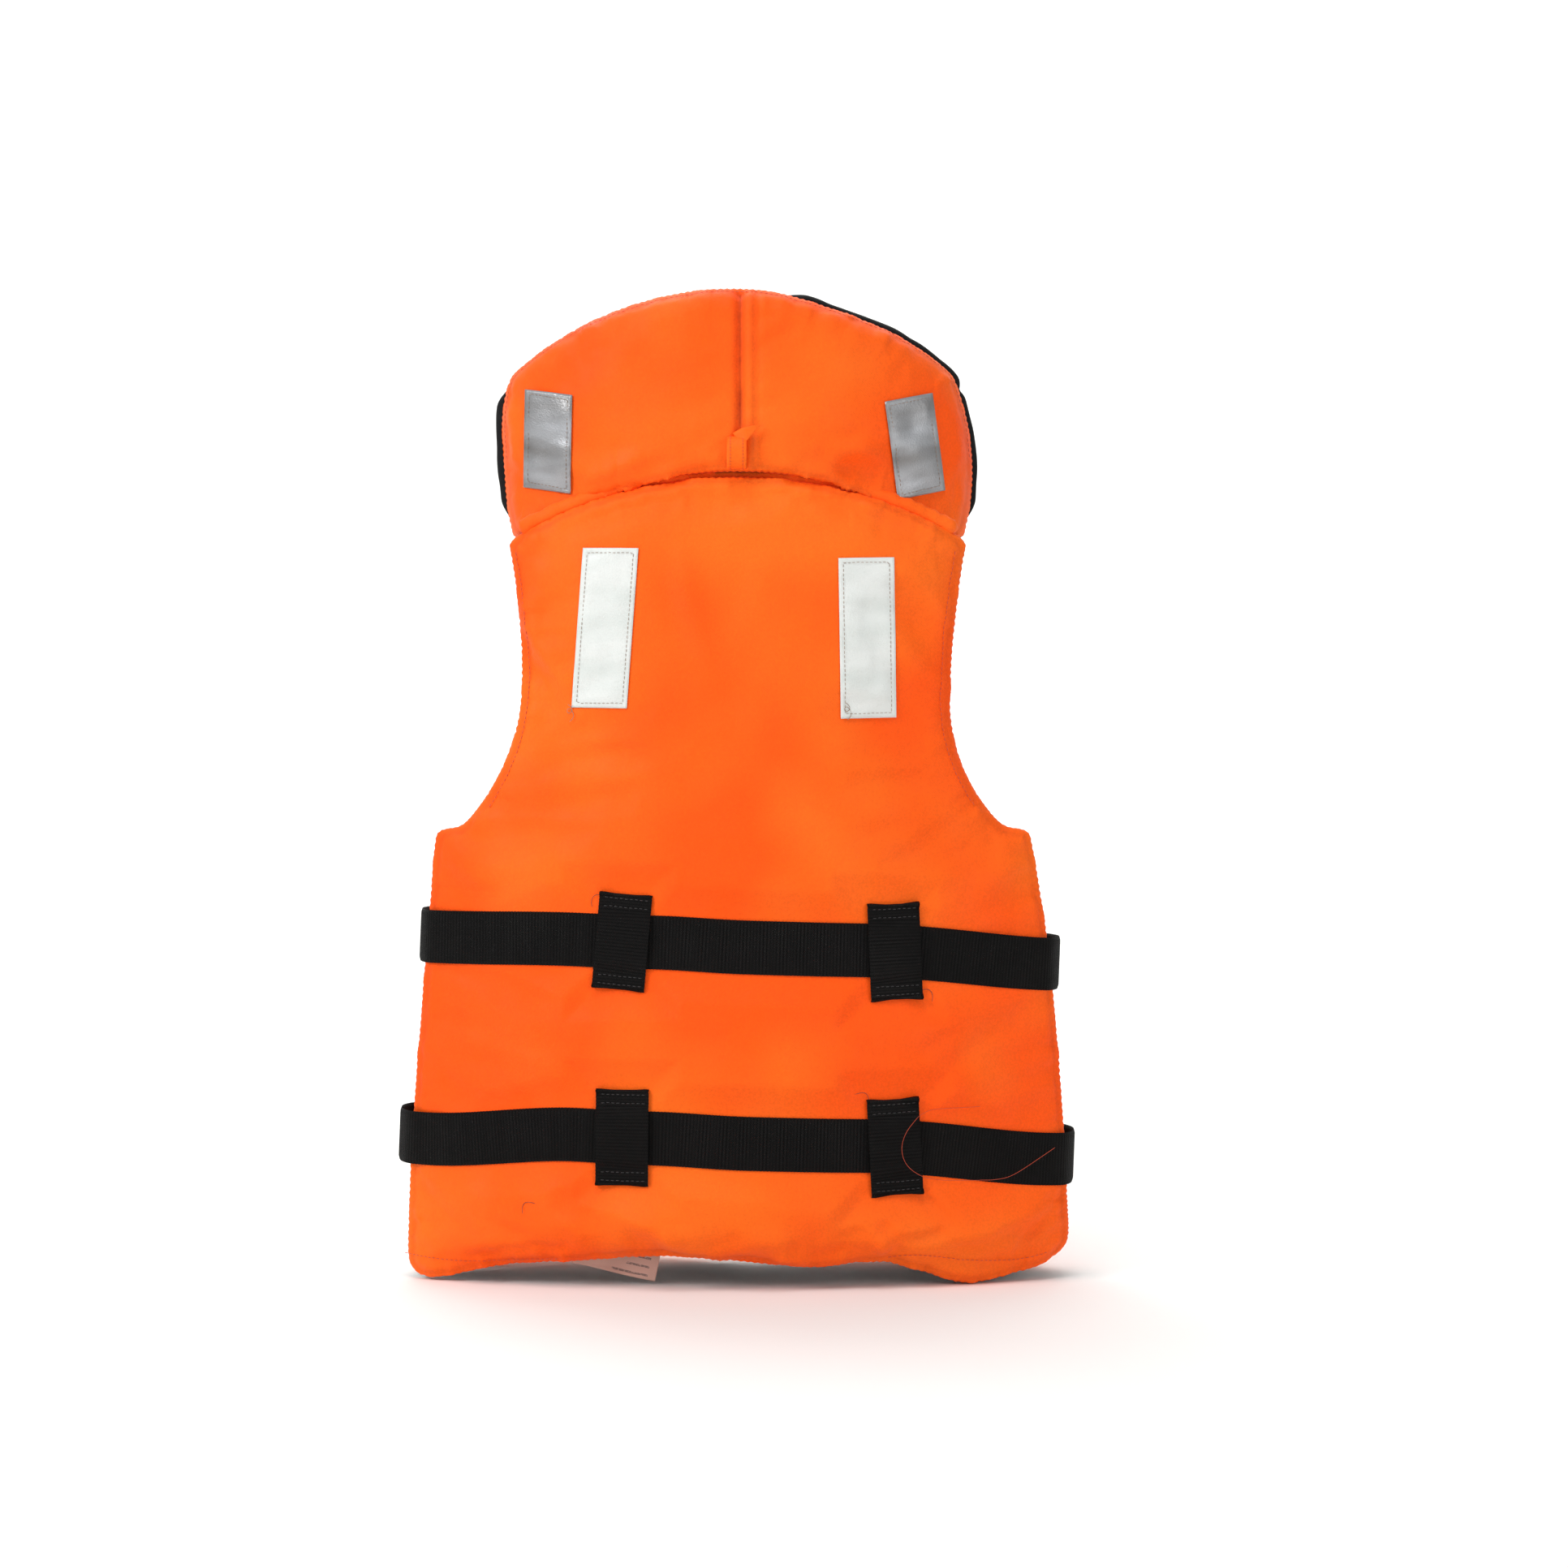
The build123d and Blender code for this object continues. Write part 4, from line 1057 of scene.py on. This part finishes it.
PATCHES = [
    ("back", "left", back_map, WHITE_TAPE, "white_tape", 4.2, (0, 2), -1.0, 0.4, 11),
    ("back", "right", back_map, WHITE_TAPE, "white_tape", -0.9, (1, -5), -0.3, 0.4, 12),
    ("collar", "left", collar_map, GREY_TAPE, "collar_tape", 1.5, (4, 3), 3.0, 0.7, 13),
    ("collar", "right", collar_map, GREY_TAPE, "collar_tape", -8.0, (5, -1), -2.0, 0.7, 14),
]
for body, side, surface, tape, slot, lean, shift, skew, wave, seed in PATCHES:
    patch(f"{body}_patch_{side}", f"{body}_reflector_{side}", surface, tape, slot, body, lean, THREAD_BROWN,
          shift, skew, wave, seed)
for side in ("left", "right"):
    patch(f"front_patch_{side}", f"front_reflector_{side}", front_map[side], WHITE_TAPE, "white_tape",
          f"front_{side}", 0.5, THREAD_BROWN, (0, 0), 0.0, 0.4, 15)

# ================================================================ belts
THICK = 1.7 * MM
BELT_GAP = 0.45 * MM
UP = np.array([-np.sin(BELT_LEAN), 0, np.cos(BELT_LEAN)])


def taut(x, y):
    """The line a tight strap takes over a row of heights: it bridges every hollow."""
    hull = []
    for k in range(len(x)):
        while len(hull) > 1:
            a, b = hull[-2], hull[-1]
            if (y[b] - y[a]) * (x[k] - x[a]) > (y[k] - y[a]) * (x[b] - x[a]):
                break
            hull.pop()
        hull.append(k)
    return np.interp(x, x[hull], y[hull])


for name in ("upper", "lower"):
    node = f"back_belt_{name}"
    low, high = span(node)
    base = (low[2] + high[2]) / 2
    gap = BELT_GAP + THICK / 2
    half = high[0] - 16 * MM
    xs = np.linspace(-half, half, 300)
    ys = taut(xs, back_bare.at(xs, base + xs * TILT) + gap)
    keepers = {side: middle(f"back_loop_{name}_{side}")[0] for side in ("left", "right")}
    inner = (xs > keepers["right"] - 6 * MM) & (xs < keepers["left"] + 6 * MM)
    sag = 0.6 * MM * wander(21, 0.11, xs)
    path = np.stack([xs, ys, base + xs * TILT + sag], 1)
    strip = webbing(f"back_belt_{name}_middle", path[inner], UP, BELT_WIDE, THICK)
    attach(strip, "back")
    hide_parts(node)
    for side, s in (("left", 1), ("right", -1)):
        bulge = 4 * MM if (name, side) == ("lower", "left") else 0
        outer_x = (high if s > 0 else -low)[0] - THICK / 2 + bulge
        outside = s * xs > abs(keepers[side]) - 6 * MM
        px, py = (s * xs[outside])[::s], ys[outside][::s]
        reach = span(f"front_belt_{name}_{side}")
        begin = max(abs(reach[0][0]), abs(reach[1][0]))
        bar = abs(middle(f"front_loop_{name}_{side}")[0])
        fx = np.linspace(begin, bar - 4 * MM, 60)
        fy = front_bare[side].at(s * fx, base + s * fx * TILT) - gap
        angle = np.linspace(0, pi, 40)[1:-1]
        first, last = (px[-1], py[-1]), (fx[0], fy[0])
        far = np.where(angle < pi / 2, first[0], last[0])
        bx = far + (outer_x - far) * np.sin(angle)
        by = (first[1] + last[1]) / 2 + (first[1] - last[1]) / 2 * np.cos(angle)
        here = s * np.r_[px, bx, fx]
        drop = np.r_[sunk(name, s * px), sunk(name, s * bx),
                     sunk(name, s * fx) * ease(begin - 60 * MM, begin, fx)]
        path = np.stack([here, np.r_[py, by, fy], base + here * TILT - drop], 1)
        path, _ = even_steps(path, 2 * MM)
        path, _ = even_steps(path, 2 * MM, 8)
        strip = webbing(f"side_belt_{name}_{side}", path, UP * -s, BELT_WIDE, THICK)
        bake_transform(strip)


def keeper(name, node, surface, body, lean, belt_half=19 * MM):
    """A loop of webbing over a belt: folded under and sewn twice at each end."""
    low, high = span(node)
    centre = (low + high) / 2
    tall = (high - low)[2] / 2 - 0.6 * MM
    turn = radians(lean)
    down = np.array([np.sin(turn), 0, -np.cos(turn)])
    left_y, right_y = (surface.at(centre[0] + k * 16 * MM, centre[2]) for k in (1, -1))
    slope = (left_y - right_y) / (32 * MM)
    side = np.array([np.cos(turn), slope, np.sin(turn)])
    side /= np.linalg.norm(side)

    def at(distance, lift):
        spot = centre + down * distance
        depth = surface.at(spot[0], spot[2]) + surface.side * lift
        return np.array([spot[0], depth, spot[2]])

    under, over = 0.9 * MM, 2.6 * MM
    crown = 4.6 * MM
    half = [(-tall + 13 * MM, under), (-tall + 4 * MM, under), (-tall + 0.6 * MM, under + 0.2 * MM),
            (-tall, (under + over) / 2), (-tall + 0.6 * MM, over), (-tall + 4 * MM, over),
            (-tall + 12 * MM, over), (-belt_half - 1 * MM, over + 0.6 * MM), (-belt_half + 3 * MM, crown),
            (-8 * MM, crown + 0.5 * MM)]
    runs = half + [(-distance, lift) for distance, lift in half[::-1]]
    path = np.array([at(*run) for run in runs])
    path, _ = even_steps(path, 0.8 * MM)
    path, _ = even_steps(path, 0.8 * MM, 3)
    strip = webbing(name, path, side, BELT_WIDE, 1.5 * MM)
    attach(strip, body)
    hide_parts(node)
    for end in (-1, 1):
        for row in (3.5, 9.5):
            spot = end * (tall - row * MM)
            ends = [at(spot, over + 0.9 * MM) + side * k * 16.5 * MM for k in (-1, 1)]
            ends = [np.array([e[0], surface.at(e[0], e[2]) + surface.side * (over + 0.95 * MM),
                              e[2]]) for e in ends]
            sewn = stitches(f"{name}_stitches_{'top' if end < 0 else 'foot'}_{int(row)}",
                            np.linspace(*ends, 12), Y * surface.side,
                            THREAD_BLACK, 2.4 * MM, 1.0 * MM, 0.42 * MM, 0.12 * MM, 30 + int(row))
            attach(sewn, body)


LEANS = {("upper", "left"): 5.0, ("upper", "right"): -2.4, ("lower", "left"): 0.4, ("lower", "right"): -3.0}
for (name, side), lean in LEANS.items():
    keeper(f"back_keeper_{name}_{side}", f"back_loop_{name}_{side}", back_bare, "back", lean)
    keeper(f"front_keeper_{name}_{side}", f"front_loop_{name}_{side}", front_bare[side], f"front_{side}",
           -2.2)

for name in ("upper", "lower"):
    base = middle(f"back_belt_{name}")[2]
    for side, s in (("left", 1), ("right", -1)):
        node = f"front_belt_{name}_{side}"
        low, high = span(node)
        flat_y = low[1] + 0.8 * MM
        keeper_x = abs(middle(f"front_loop_{name}_{side}")[0])
        crown_x = 102 * MM
        xs = np.linspace(keeper_x + 6 * MM, crown_x, 60)
        ys = np.maximum(front_bare[side].at(s * xs, base + s * xs * TILT) - BELT_GAP - THICK / 2,
                        flat_y - 3 * MM)
        ys = ys + (flat_y - ys) * ease(keeper_x - 25 * MM, crown_x, xs)
        end = min(abs(low[0]), abs(high[0]))
        if side == "left":
            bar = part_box(f"buckle_socket_{name}")[1][0] - 1.8 * MM
            turn = np.linspace(0, pi, 24)
            r = 3.0 * MM
            hook = np.stack([bar - r * np.sin(turn), flat_y + r - r * np.cos(turn)], 1)
            line = np.vstack([np.stack([xs, ys], 1),
                              np.linspace((crown_x - 2 * MM, flat_y), (bar + 2 * MM, flat_y), 40), hook,
                              np.linspace((bar + 1 * MM, flat_y + 2 * r), (52 * MM, flat_y + 2 * r), 12)])
        else:
            line = np.vstack([np.stack([xs, ys], 1),
                              np.linspace((crown_x - 2 * MM, flat_y), (end, flat_y), 40)])
        path = np.stack([s * line[:, 0], line[:, 1], base + s * line[:, 0] * TILT], 1)
        path, _ = even_steps(path, 1 * MM)
        path, _ = even_steps(path, 1 * MM, 2)
        strip = webbing(f"front_belt_{name}_{side}", path, UP * -s, 37 * MM, THICK)
        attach(strip, f"front_{side}")
        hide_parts(node)


# ================================================================ shoulders and collar seam
def softened(obj, rounds):
    """Rounds a skin by moving each point towards its neighbours."""
    even = obj.modifiers.new("soft", "SMOOTH")
    even.factor, even.iterations = 0.5, rounds
    keep_shape(obj)


for side, s in (("left", 1), ("right", -1)):
    node = f"shoulder_{side}"
    low, high = span(node)
    yoke = closed_skin(f"shoulder_yoke_{side}", [node], 4 * MM)
    points = read(yoke)
    centre = (low + high) / 2
    points[:, 1] = centre[1] + (points[:, 1] - centre[1]) * 1.16
    write(yoke, points)
    finer(yoke)
    softened(yoke, 6)
    points, normals = read(yoke), outward(yoke)
    ridge = wander(41, 16 * MM, points[:, 0] * 1.6, points[:, 1] * 0.3) * 1.1 * MM
    crown = 3.5 * MM * hill(points[:, 1] - centre[1], 34 * MM) * ease(0, 1, normals[:, 2])
    write(yoke, points + normals * ridge[:, None] + Z * crown[:, None])
    smooth(yoke)
    yoke.data.materials.append(ORANGE)
    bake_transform(yoke)
    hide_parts(node)


def tube(name, path, wide, tall, material, slot=None, sides=12, along=Z):
    """A round or oval cord along a line, closed at both ends.

    wide is its radius across, tall its radius in the direction of along.
    """
    tangent = unit(np.gradient(path, axis=0))
    up = unit(along - tangent * (tangent @ along)[:, None])
    beside = np.cross(tangent, up)
    angle = np.arange(sides) * 2 * pi / sides
    ends = np.ones(len(path))
    ends[[0, -1]] = 0.25
    a = (np.cos(angle)[None] * np.atleast_1d(wide)[:, None] * ends[:, None])[..., None]
    b = (np.sin(angle)[None] * np.atleast_1d(tall)[:, None] * ends[:, None])[..., None]
    points = path[:, None] + a * beside[:, None] + b * up[:, None]
    points = np.vstack([points.reshape(-1, 3), path[:1], path[-1:]])
    rows = len(path)
    faces = squares(rows, sides, wrap_columns=True).tolist()
    last, first, end = (rows - 1) * sides, rows * sides, rows * sides + 1
    fans = [(first, i, (i + 1) % sides) for i in range(sides)]
    fans += [(end, last + (i + 1) % sides, last + i) for i in range(sides)]
    mesh = bpy.data.meshes.new(name)
    mesh.from_pydata(points.tolist(), [], faces + fans)
    obj = smooth(link(name, mesh))
    mesh.materials.append(material)
    face_out(obj)
    return obj if slot else obj


def depth_at(obj, x, z, reach=7 * MM):
    """Middle depth of a panel near each x and z."""
    points = read(obj)
    out = []
    for a, b in zip(x, z):
        near = points[(abs(points[:, 0] - a) < reach) & (abs(points[:, 2] - b) < reach), 1]
        out.append((near.min() + near.max()) / 2 if len(near) else np.nan)
    out = np.array(out)
    good = np.isfinite(out)
    return np.interp(x, x[good], out[good])


x = np.linspace(-158 * MM, 158 * MM, 80)
edge_z = top_edge_of(back, x)
path = np.stack([x, depth_at(back, x, edge_z - 2 * MM) + 2.4 * MM, edge_z + 1.4 * MM], 1)
path, _ = even_steps(path, 4 * MM, 0)
seam = tube("collar_seam", path, 5.5 * MM, 6.2 * MM, ORANGE, "cover", 16)
points, normals = read(seam), outward(seam)
write(seam, points + normals * (0.7 * MM * wander(44, 11 * MM, points[:, 0]))[:, None])
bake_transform(seam)

# a folded tab at the foot of the collar seam, with its point turned up
low, high = span("hanging_loop")
mid_z, half_z = (low + high)[2] / 2, (high - low)[2] / 2
surface_y = collar_map.at(np.array([0.0]), np.array([mid_z]))[0]
t = np.linspace(0, pi, 20)
path = np.stack([0.0 * t, surface_y + 0.5 * MM + (high[1] - surface_y) * np.sin(t) ** 0.7,
                 mid_z + (half_z - 1 * MM) * np.cos(t)], 1)


tab = ribbon("hanging_tab", path, X, 14 * MM, 1.4 * MM, ORANGE, step=0.8 * MM)
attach(tab, "collar")
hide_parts("hanging_loop")
tip = np.array([[0, surface_y + 6 * MM, high[2] - 3 * MM], [-6 * MM, surface_y + 8.5 * MM, high[2] + 1 * MM],
                [-12 * MM, surface_y + 8 * MM, high[2] + 4.5 * MM],
                [-17 * MM, surface_y + 6 * MM, high[2] + 7 * MM]])
point = ribbon("hanging_tab_point", even_steps(tip, 1 * MM)[0], Z, 11 * MM, 1.2 * MM, ORANGE,
               step=0.8 * MM,
               taper=([0, 0.3, 1], [1.0, 0.9, 0.08]))
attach(point, "collar")
for k in (-4.4, 4.4):
    line = path + np.array([k * MM, 0, 0])
    out = np.stack([0 * t, np.sin(t), np.cos(t)], 1)
    sewn = stitches(f"hanging_tab_stitches_{'left' if k > 0 else 'right'}", line + out * 0.9 * MM, Y,
                    THREAD_RED, 1.8 * MM, 0.7 * MM)
    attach(sewn, "collar")


# ================================================================ topstitching
def outline(points, centre, count=560):
    """The panel's outline seen straight on: the farthest point in each direction from centre."""
    flat = points[:, [0, 2]] - np.array(centre)
    angle = np.arctan2(flat[:, 1], flat[:, 0])
    far = np.hypot(*flat.T)
    want = np.linspace(-pi, pi, count, endpoint=False)
    sector = ((angle + pi) / (2 * pi) * count).astype(int) % count
    best = np.full(count, -1.0)
    np.maximum.at(best, sector, far)
    good = best > 0
    best = np.interp(want, want[good], best[good], period=2 * pi)
    return np.array(centre) + np.stack([np.cos(want), np.sin(want)], 1) * best[:, None]


def inset(line, distance, step=2 * MM, rounds=8):
    """A closed line moved inwards by a distance, then evened out."""
    loop = np.vstack([line, line[:1]])
    gone = np.r_[0, np.cumsum(np.hypot(*np.diff(loop, axis=0).T))]
    want = np.arange(0, gone[-1], step)
    even = np.stack([np.interp(want, gone, loop[:, k]) for k in (0, 1)], 1)
    for _ in range(rounds):
        even = (np.roll(even, 1, 0) + 2 * even + np.roll(even, -1, 0)) / 4
    way = np.roll(even, -1, 0) - np.roll(even, 1, 0)
    way /= np.hypot(*way.T)[:, None]
    moved = even + distance * np.stack([-way[:, 1], way[:, 0]], 1)
    return np.vstack([moved, moved[:1]])


def topstitch(name, rim, surface, centre, distance, body, keep=None):
    """A row of stitches round a panel, a set distance inside its outline."""
    line = inset(outline(rim, centre), distance)[:-1]
    kept = np.ones(len(line), bool) if keep is None else keep(line)
    turn = int(np.argmin(kept))
    line, kept = np.roll(line, -turn, 0), np.roll(kept, -turn)
    if kept.all():
        line, kept = np.vstack([line, line[:1]]), np.r_[kept, True]
    ends = np.flatnonzero(np.diff(kept.astype(int))) + 1
    runs = [run for run in np.split(np.arange(len(line)), ends) if kept[run[0]] and len(run) > 8]
    for k, run in enumerate(runs):
        path = on_surface(line[run], surface, 0.35 * MM)
        sewn = stitches(f"{name}_{k}", path, Y * surface.side, THREAD_RED, 2.7 * MM, 1.0 * MM, 0.42 * MM,
                        0.12 * MM, 7)
        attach(sewn, body)


topstitch("back_topstitch", back_rim, back_map, (0, 0.25), 7.0 * MM, "back",
          lambda p: (p[:, 1] < 0.53) & (p[:, 1] > 0.345))
topstitch("collar_topstitch", collar_rim, collar_map, (0, 0.65), 3.6 * MM, "collar", lambda p: p[:, 1] > 0.60)
for side, (_, rim, _) in fronts.items():
    s = 1 if side == "left" else -1
    topstitch(f"front_topstitch_{side}", rim, front_map[side], (s * 0.095, 0.28), 4.0 * MM, f"front_{side}")

# the black inner fabric stands out past the orange at the collar's sides
line = inset(outline(collar_rim, (0, 0.65)), 2.0 * MM)
line = np.roll(line[:-1], -int(np.argmin(abs(line[:-1, 0]) + (line[:-1, 1] > 0.62))), 0)
line = line[(line[:, 1] > 0.62) | (abs(line[:, 0]) > 0.160)]
inside = inset(outline(collar_rim, (0, 0.65)), 9 * MM)
near = [np.argmin(((inside - k) ** 2).sum(1)) for k in line]
inner_y = Relief(read(collar), -1, 4 * MM, 1).at(inside[near, 0], inside[near, 1])
x, z = line.T
sides = ease(0.552, 0.575, z) * (1 - ease(0.640, 0.662, z))
swell = np.where(x > 0, 7.6 * sides, 5.6 * ease(0.552, 0.575, z) * (1 - ease(0.645, 0.66, z)))
swell = np.maximum(swell, np.where(x < -0.02, 6.6 * ease(0.645, 0.66, z) * ease(0.02, 0.05, -x), 0.8))
swell = np.maximum(swell, 0.8) * (1 + 0.07 * wander(51, 30 * MM, x, z)) * MM
path = np.stack([x, inner_y + 5 * MM, z], 1)
rim = tube("collar_rim", path, swell, np.maximum(swell * 0.9, 0.8 * MM), BLACK_CLOTH, "lining", 14, Y)
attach(rim, "collar")

GUSSETS = {
    "left": [(244, 19), (225, 17.5), (205, 16.5), (186, 17), (160, 19), (128, 21)],
    "right": [(-108, 23), (-122, 25), (-136, 24.5), (-163, 19.5), (-185, 17.5), (-205, 17), (-226, 21)],
}
for side, corners in GUSSETS.items():
    flat = relaxed(joined_line(np.array(corners) * MM), 10)
    sewn = stitches(f"hem_gusset_stitches_{side}", on_surface(flat, back_map, 0.3 * MM), Y, THREAD_RED,
                    2.6 * MM, 1.1 * MM,
                    0.42 * MM, 0.1 * MM, 19)
    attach(sewn, "back")


# ================================================================ zip, label, whistle strap
for side, s in (("left", 1), ("right", -1)):
    low, high = span(f"zip_tape_{side}")
    foot = low[2] - (19 if s > 0 else 8) * MM
    path = np.array([[(low + high)[0] / 2 + s * 1.5 * MM, (low + high)[1] / 2, foot],
                     [(low + high)[0] / 2 + s * 1.5 * MM, (low + high)[1] / 2, high[2] + 4 * MM]])
    tape = ribbon(f"zip_tape_woven_{side}", path, X, 17.5 * MM, 1.0 * MM, WEBBING, 0.12 * MM,
                  1.3 * MM, 0.65 * MM)
    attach(tape, f"front_{side}")
    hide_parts(f"zip_tape_{side}")
    edge = (high if s > 0 else low)[0] - s * 4.5 * MM
    line = np.array([[edge, low[1] - 0.35 * MM, low[2] - 4 * MM], [edge, low[1] - 0.35 * MM, high[2]]])
    sewn = stitches(f"zip_tape_stitches_{side}", even_steps(line, 3 * MM)[0], -Y, THREAD_BLACK)
    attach(sewn, f"front_{side}")

low, high = span("zip_tape_left")
path = np.array([[3 * MM, high[1] + 4.6 * MM, low[2] - 4 * MM],
                 [3 * MM, high[1] + 4.6 * MM, high[2] - 4 * MM]])
flap = ribbon("zip_flap", path, X, 27 * MM, 0.9 * MM, BLACK_CLOTH, 0.0, step=4 * MM)
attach(flap, "front_left")

low, high = span("care_label")
box, spin = turned_corners(np.array([31, 25]) * MM, 12)


class Hanging:
    """A gently curling surface for a label that hangs free behind the hem."""

    side = 1

    def at(self, x, z):
        x, z = np.asarray(x, float), np.asarray(z, float)
        slope = (span("care_label")[0][1] - span("care_label")[1][1]) / (high[0] - low[0])
        curl = 1.6 * MM * np.sin((x + z) * 90) * ease(0.04, 0.0, z)
        return (low + high)[1] / 2 + slope * 0.8 * (x - (low + high)[0] / 2) + curl


label = sheet_on("care_label_printed", (low + high)[[0, 2]] / 2 + box @ spin, Hanging(), LABEL,
                 0.3 * MM, 0, 0.3, 1.5 * MM)
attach(label, "back")
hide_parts("care_label")

low, high = span("whistle_holder")
t = np.linspace(0, pi, 30)
mid_x, base_y = (low + high)[0] / 2, high[1] - 1.0 * MM
xs = np.r_[np.linspace(high[0], mid_x + 9.6 * MM, 8), mid_x + 9.6 * MM * np.cos(t),
           np.linspace(mid_x - 9.6 * MM, low[0], 8)]
ys = np.r_[np.full(8, base_y), base_y - (base_y - low[1] - 0.6 * MM) * np.sin(t) ** 0.6, np.full(8, base_y)]
holder = ribbon("whistle_strap", np.stack([xs, ys, np.full(len(xs), (low + high)[2] / 2)], 1), Z, 9.5 * MM,
                1.3 * MM, WEBBING,
                0.15 * MM, 1.6 * MM, 0.5 * MM)
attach(holder, "front_right")
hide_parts("whistle_holder")

for node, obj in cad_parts.items():
    finish_of = None
    if node.startswith("buckle") or node in ("zip_box", "zip_pin") or node.startswith("zip_teeth"):
        finish_of = PLASTIC
    elif node in ("zip_slider", "zip_pull"):
        finish_of = ZINC
    elif node == "whistle":
        finish_of = WHISTLE
    if finish_of:
        obj.data.materials.clear()
        obj.data.materials.append(finish_of)
    if node.startswith("buckle"):
        edges = obj.modifiers.new("moulded edges", "BEVEL")
        edges.width, edges.segments = 0.45 * MM, 2
        edges.limit_method, edges.angle_limit = "ANGLE", radians(35)


# ================================================================ loose threads
def loose_thread(name, corners, surface, body, material, radius=0.22 * MM, lift=1.2 * MM, seed=1,
                 over_straps=False, rounds=14):
    """A thread end that has come free and lies in soft bends on the surface."""
    corners = np.asarray(corners, float) * MM
    gone = np.r_[0, np.cumsum(np.hypot(*np.diff(corners, axis=0).T))]
    want = np.arange(0, gone[-1], 1.2 * MM)
    flat = np.stack([np.interp(want, gone, corners[:, k]) for k in (0, 1)], 1)
    flat = relaxed(flat, rounds)
    rise = lift + 0.5 * MM * wander(seed, 14 * MM, want)
    path = on_surface(flat, surface, 0)
    if over_straps:
        loops = [gap_to_box(flat[:, 0], flat[:, 1], *span("back_" + k)) for k in LOOPS]
        belts = under_straps(flat[:, 0], flat[:, 1], BELTS, ["back_" + LOOPS[0]])
        on_loop = np.min(loops, axis=0) < 1 * MM
        straps = back_bare.at(flat[:, 0]) + 2.4 * MM * (belts < 1 * MM) + 3.9 * MM * on_loop
        path[:, 1] = np.maximum(path[:, 1], straps)
        for _ in range(6):
            path[1:-1, 1] = np.maximum(path[1:-1, 1], (path[:-2, 1] + path[2:, 1]) / 2)
    path[:, 1] += surface.side * rise
    thread = tube(name, path, np.full(len(path), radius), np.full(len(path), radius), material, None, 6, Y)
    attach(thread, body)


loose_thread("loose_thread_belt", [(-175, 130), (-132, 129), (-116, 108), (-118, 90), (-137, 78), (-195, 76),
                                   (-232, 98)],
             back_map, "back", THREAD_RED, 0.15 * MM, 0.7 * MM, 3, True, 90)
KNOT = np.array([(3, 6), (-2, 3), (1, -2), (5, 0), (2, 5), (-3, -3), (2, -7)])
for k, spot in enumerate([(118, 413), (-80, 414)]):
    knot = np.array(spot) + KNOT
    loose_thread(f"loose_thread_patch_{k}", knot, back_map, "back", THREAD_BROWN, 0.2 * MM, 1.3 * MM, 5 + k)
ENDS = {"ul": (100, 282), "ur": (-136, 214), "lr": (-90, 141), "lm": (150, 62)}
for k, (tag, spot) in enumerate(ENDS.items()):
    way = 1 if spot[0] > 0 else -1
    strand = [(spot[0] - 6 * way, spot[1]), (spot[0] + 2 * way, spot[1] + 2),
              (spot[0] + 5 * way, spot[1] - 4), (spot[0] + 3 * way, spot[1] - 9)]
    loose_thread(f"loose_thread_loop_{tag}", strand, back_map, "back", THREAD_BLACK, 0.16 * MM, 0.8 * MM,
                 9 + k)

# ================================================================ studio
PAPER = start("matt card, white", Roughness=0.9)[0]
PAPER.node_tree.nodes["Principled BSDF"].inputs["Base Color"].default_value = linear("#f6f6f4")
cove = [(-1.4 - 1.2 * np.sin(a), 1.2 - 1.2 * np.cos(a)) for a in np.linspace(0.1, pi / 2, 14)]
profile = np.vstack([[(5.0, 0.0), (-1.4, 0.0)], cove, [(-2.6, 6.0)]])
wide = np.array([-7.0, 7.0])
points = np.stack([np.stack([np.full(len(profile), w), profile[:, 0], profile[:, 1]], 1) for w in wide])
mesh = bpy.data.meshes.new("backdrop")
mesh.from_pydata(points.reshape(-1, 3).tolist(), [], squares(2, len(profile)).tolist())
backdrop = smooth(link("backdrop", mesh))
mesh.materials.append(PAPER)


def lamp(name, spot, target, power, size):
    """A large soft light aimed at a place."""
    light = bpy.data.lights.new(name, "AREA")
    light.energy, light.size = power, size
    obj = bpy.data.objects.new(name, light)
    scene.collection.objects.link(obj)
    obj.location = spot
    way = Vector(target) - Vector(spot)
    obj.rotation_euler = way.to_track_quat("-Z", "Y").to_euler()


lamp("key", (2.2, 1.7, 1.9), (0, 0, 0.36), 50, 1.2)
lamp("fill", (-2.2, 2.4, 1.0), (0, 0, 0.35), 20, 1.8)
lamp("top", (0.1, 1.2, 2.7), (0, 0, 0.4), 20, 1.0)
lamp("beyond", (0.7, -1.2, 2.7), (0, 0, 0.35), 18, 1.4)
lamp("paper", (0.0, -1.3, 2.9), (0, -2.5, 0.9), 46, 2.2)
world = bpy.data.worlds.new("studio")
world.use_nodes = True
world.node_tree.nodes["Background"].inputs[0].default_value = (1, 1, 1, 1)
world.node_tree.nodes["Background"].inputs[1].default_value = 0.34
scene.world = world
scene.view_settings.view_transform = "Standard"

eye = bpy.data.objects.new("camera", bpy.data.cameras.new("camera"))
scene.collection.objects.link(eye)
eye.data.lens, eye.data.sensor_width = 70, 36
eye.location = (-0.0335, 2.258, 0.362)
eye.rotation_euler = (pi / 2, 0, pi)
scene.camera = eye
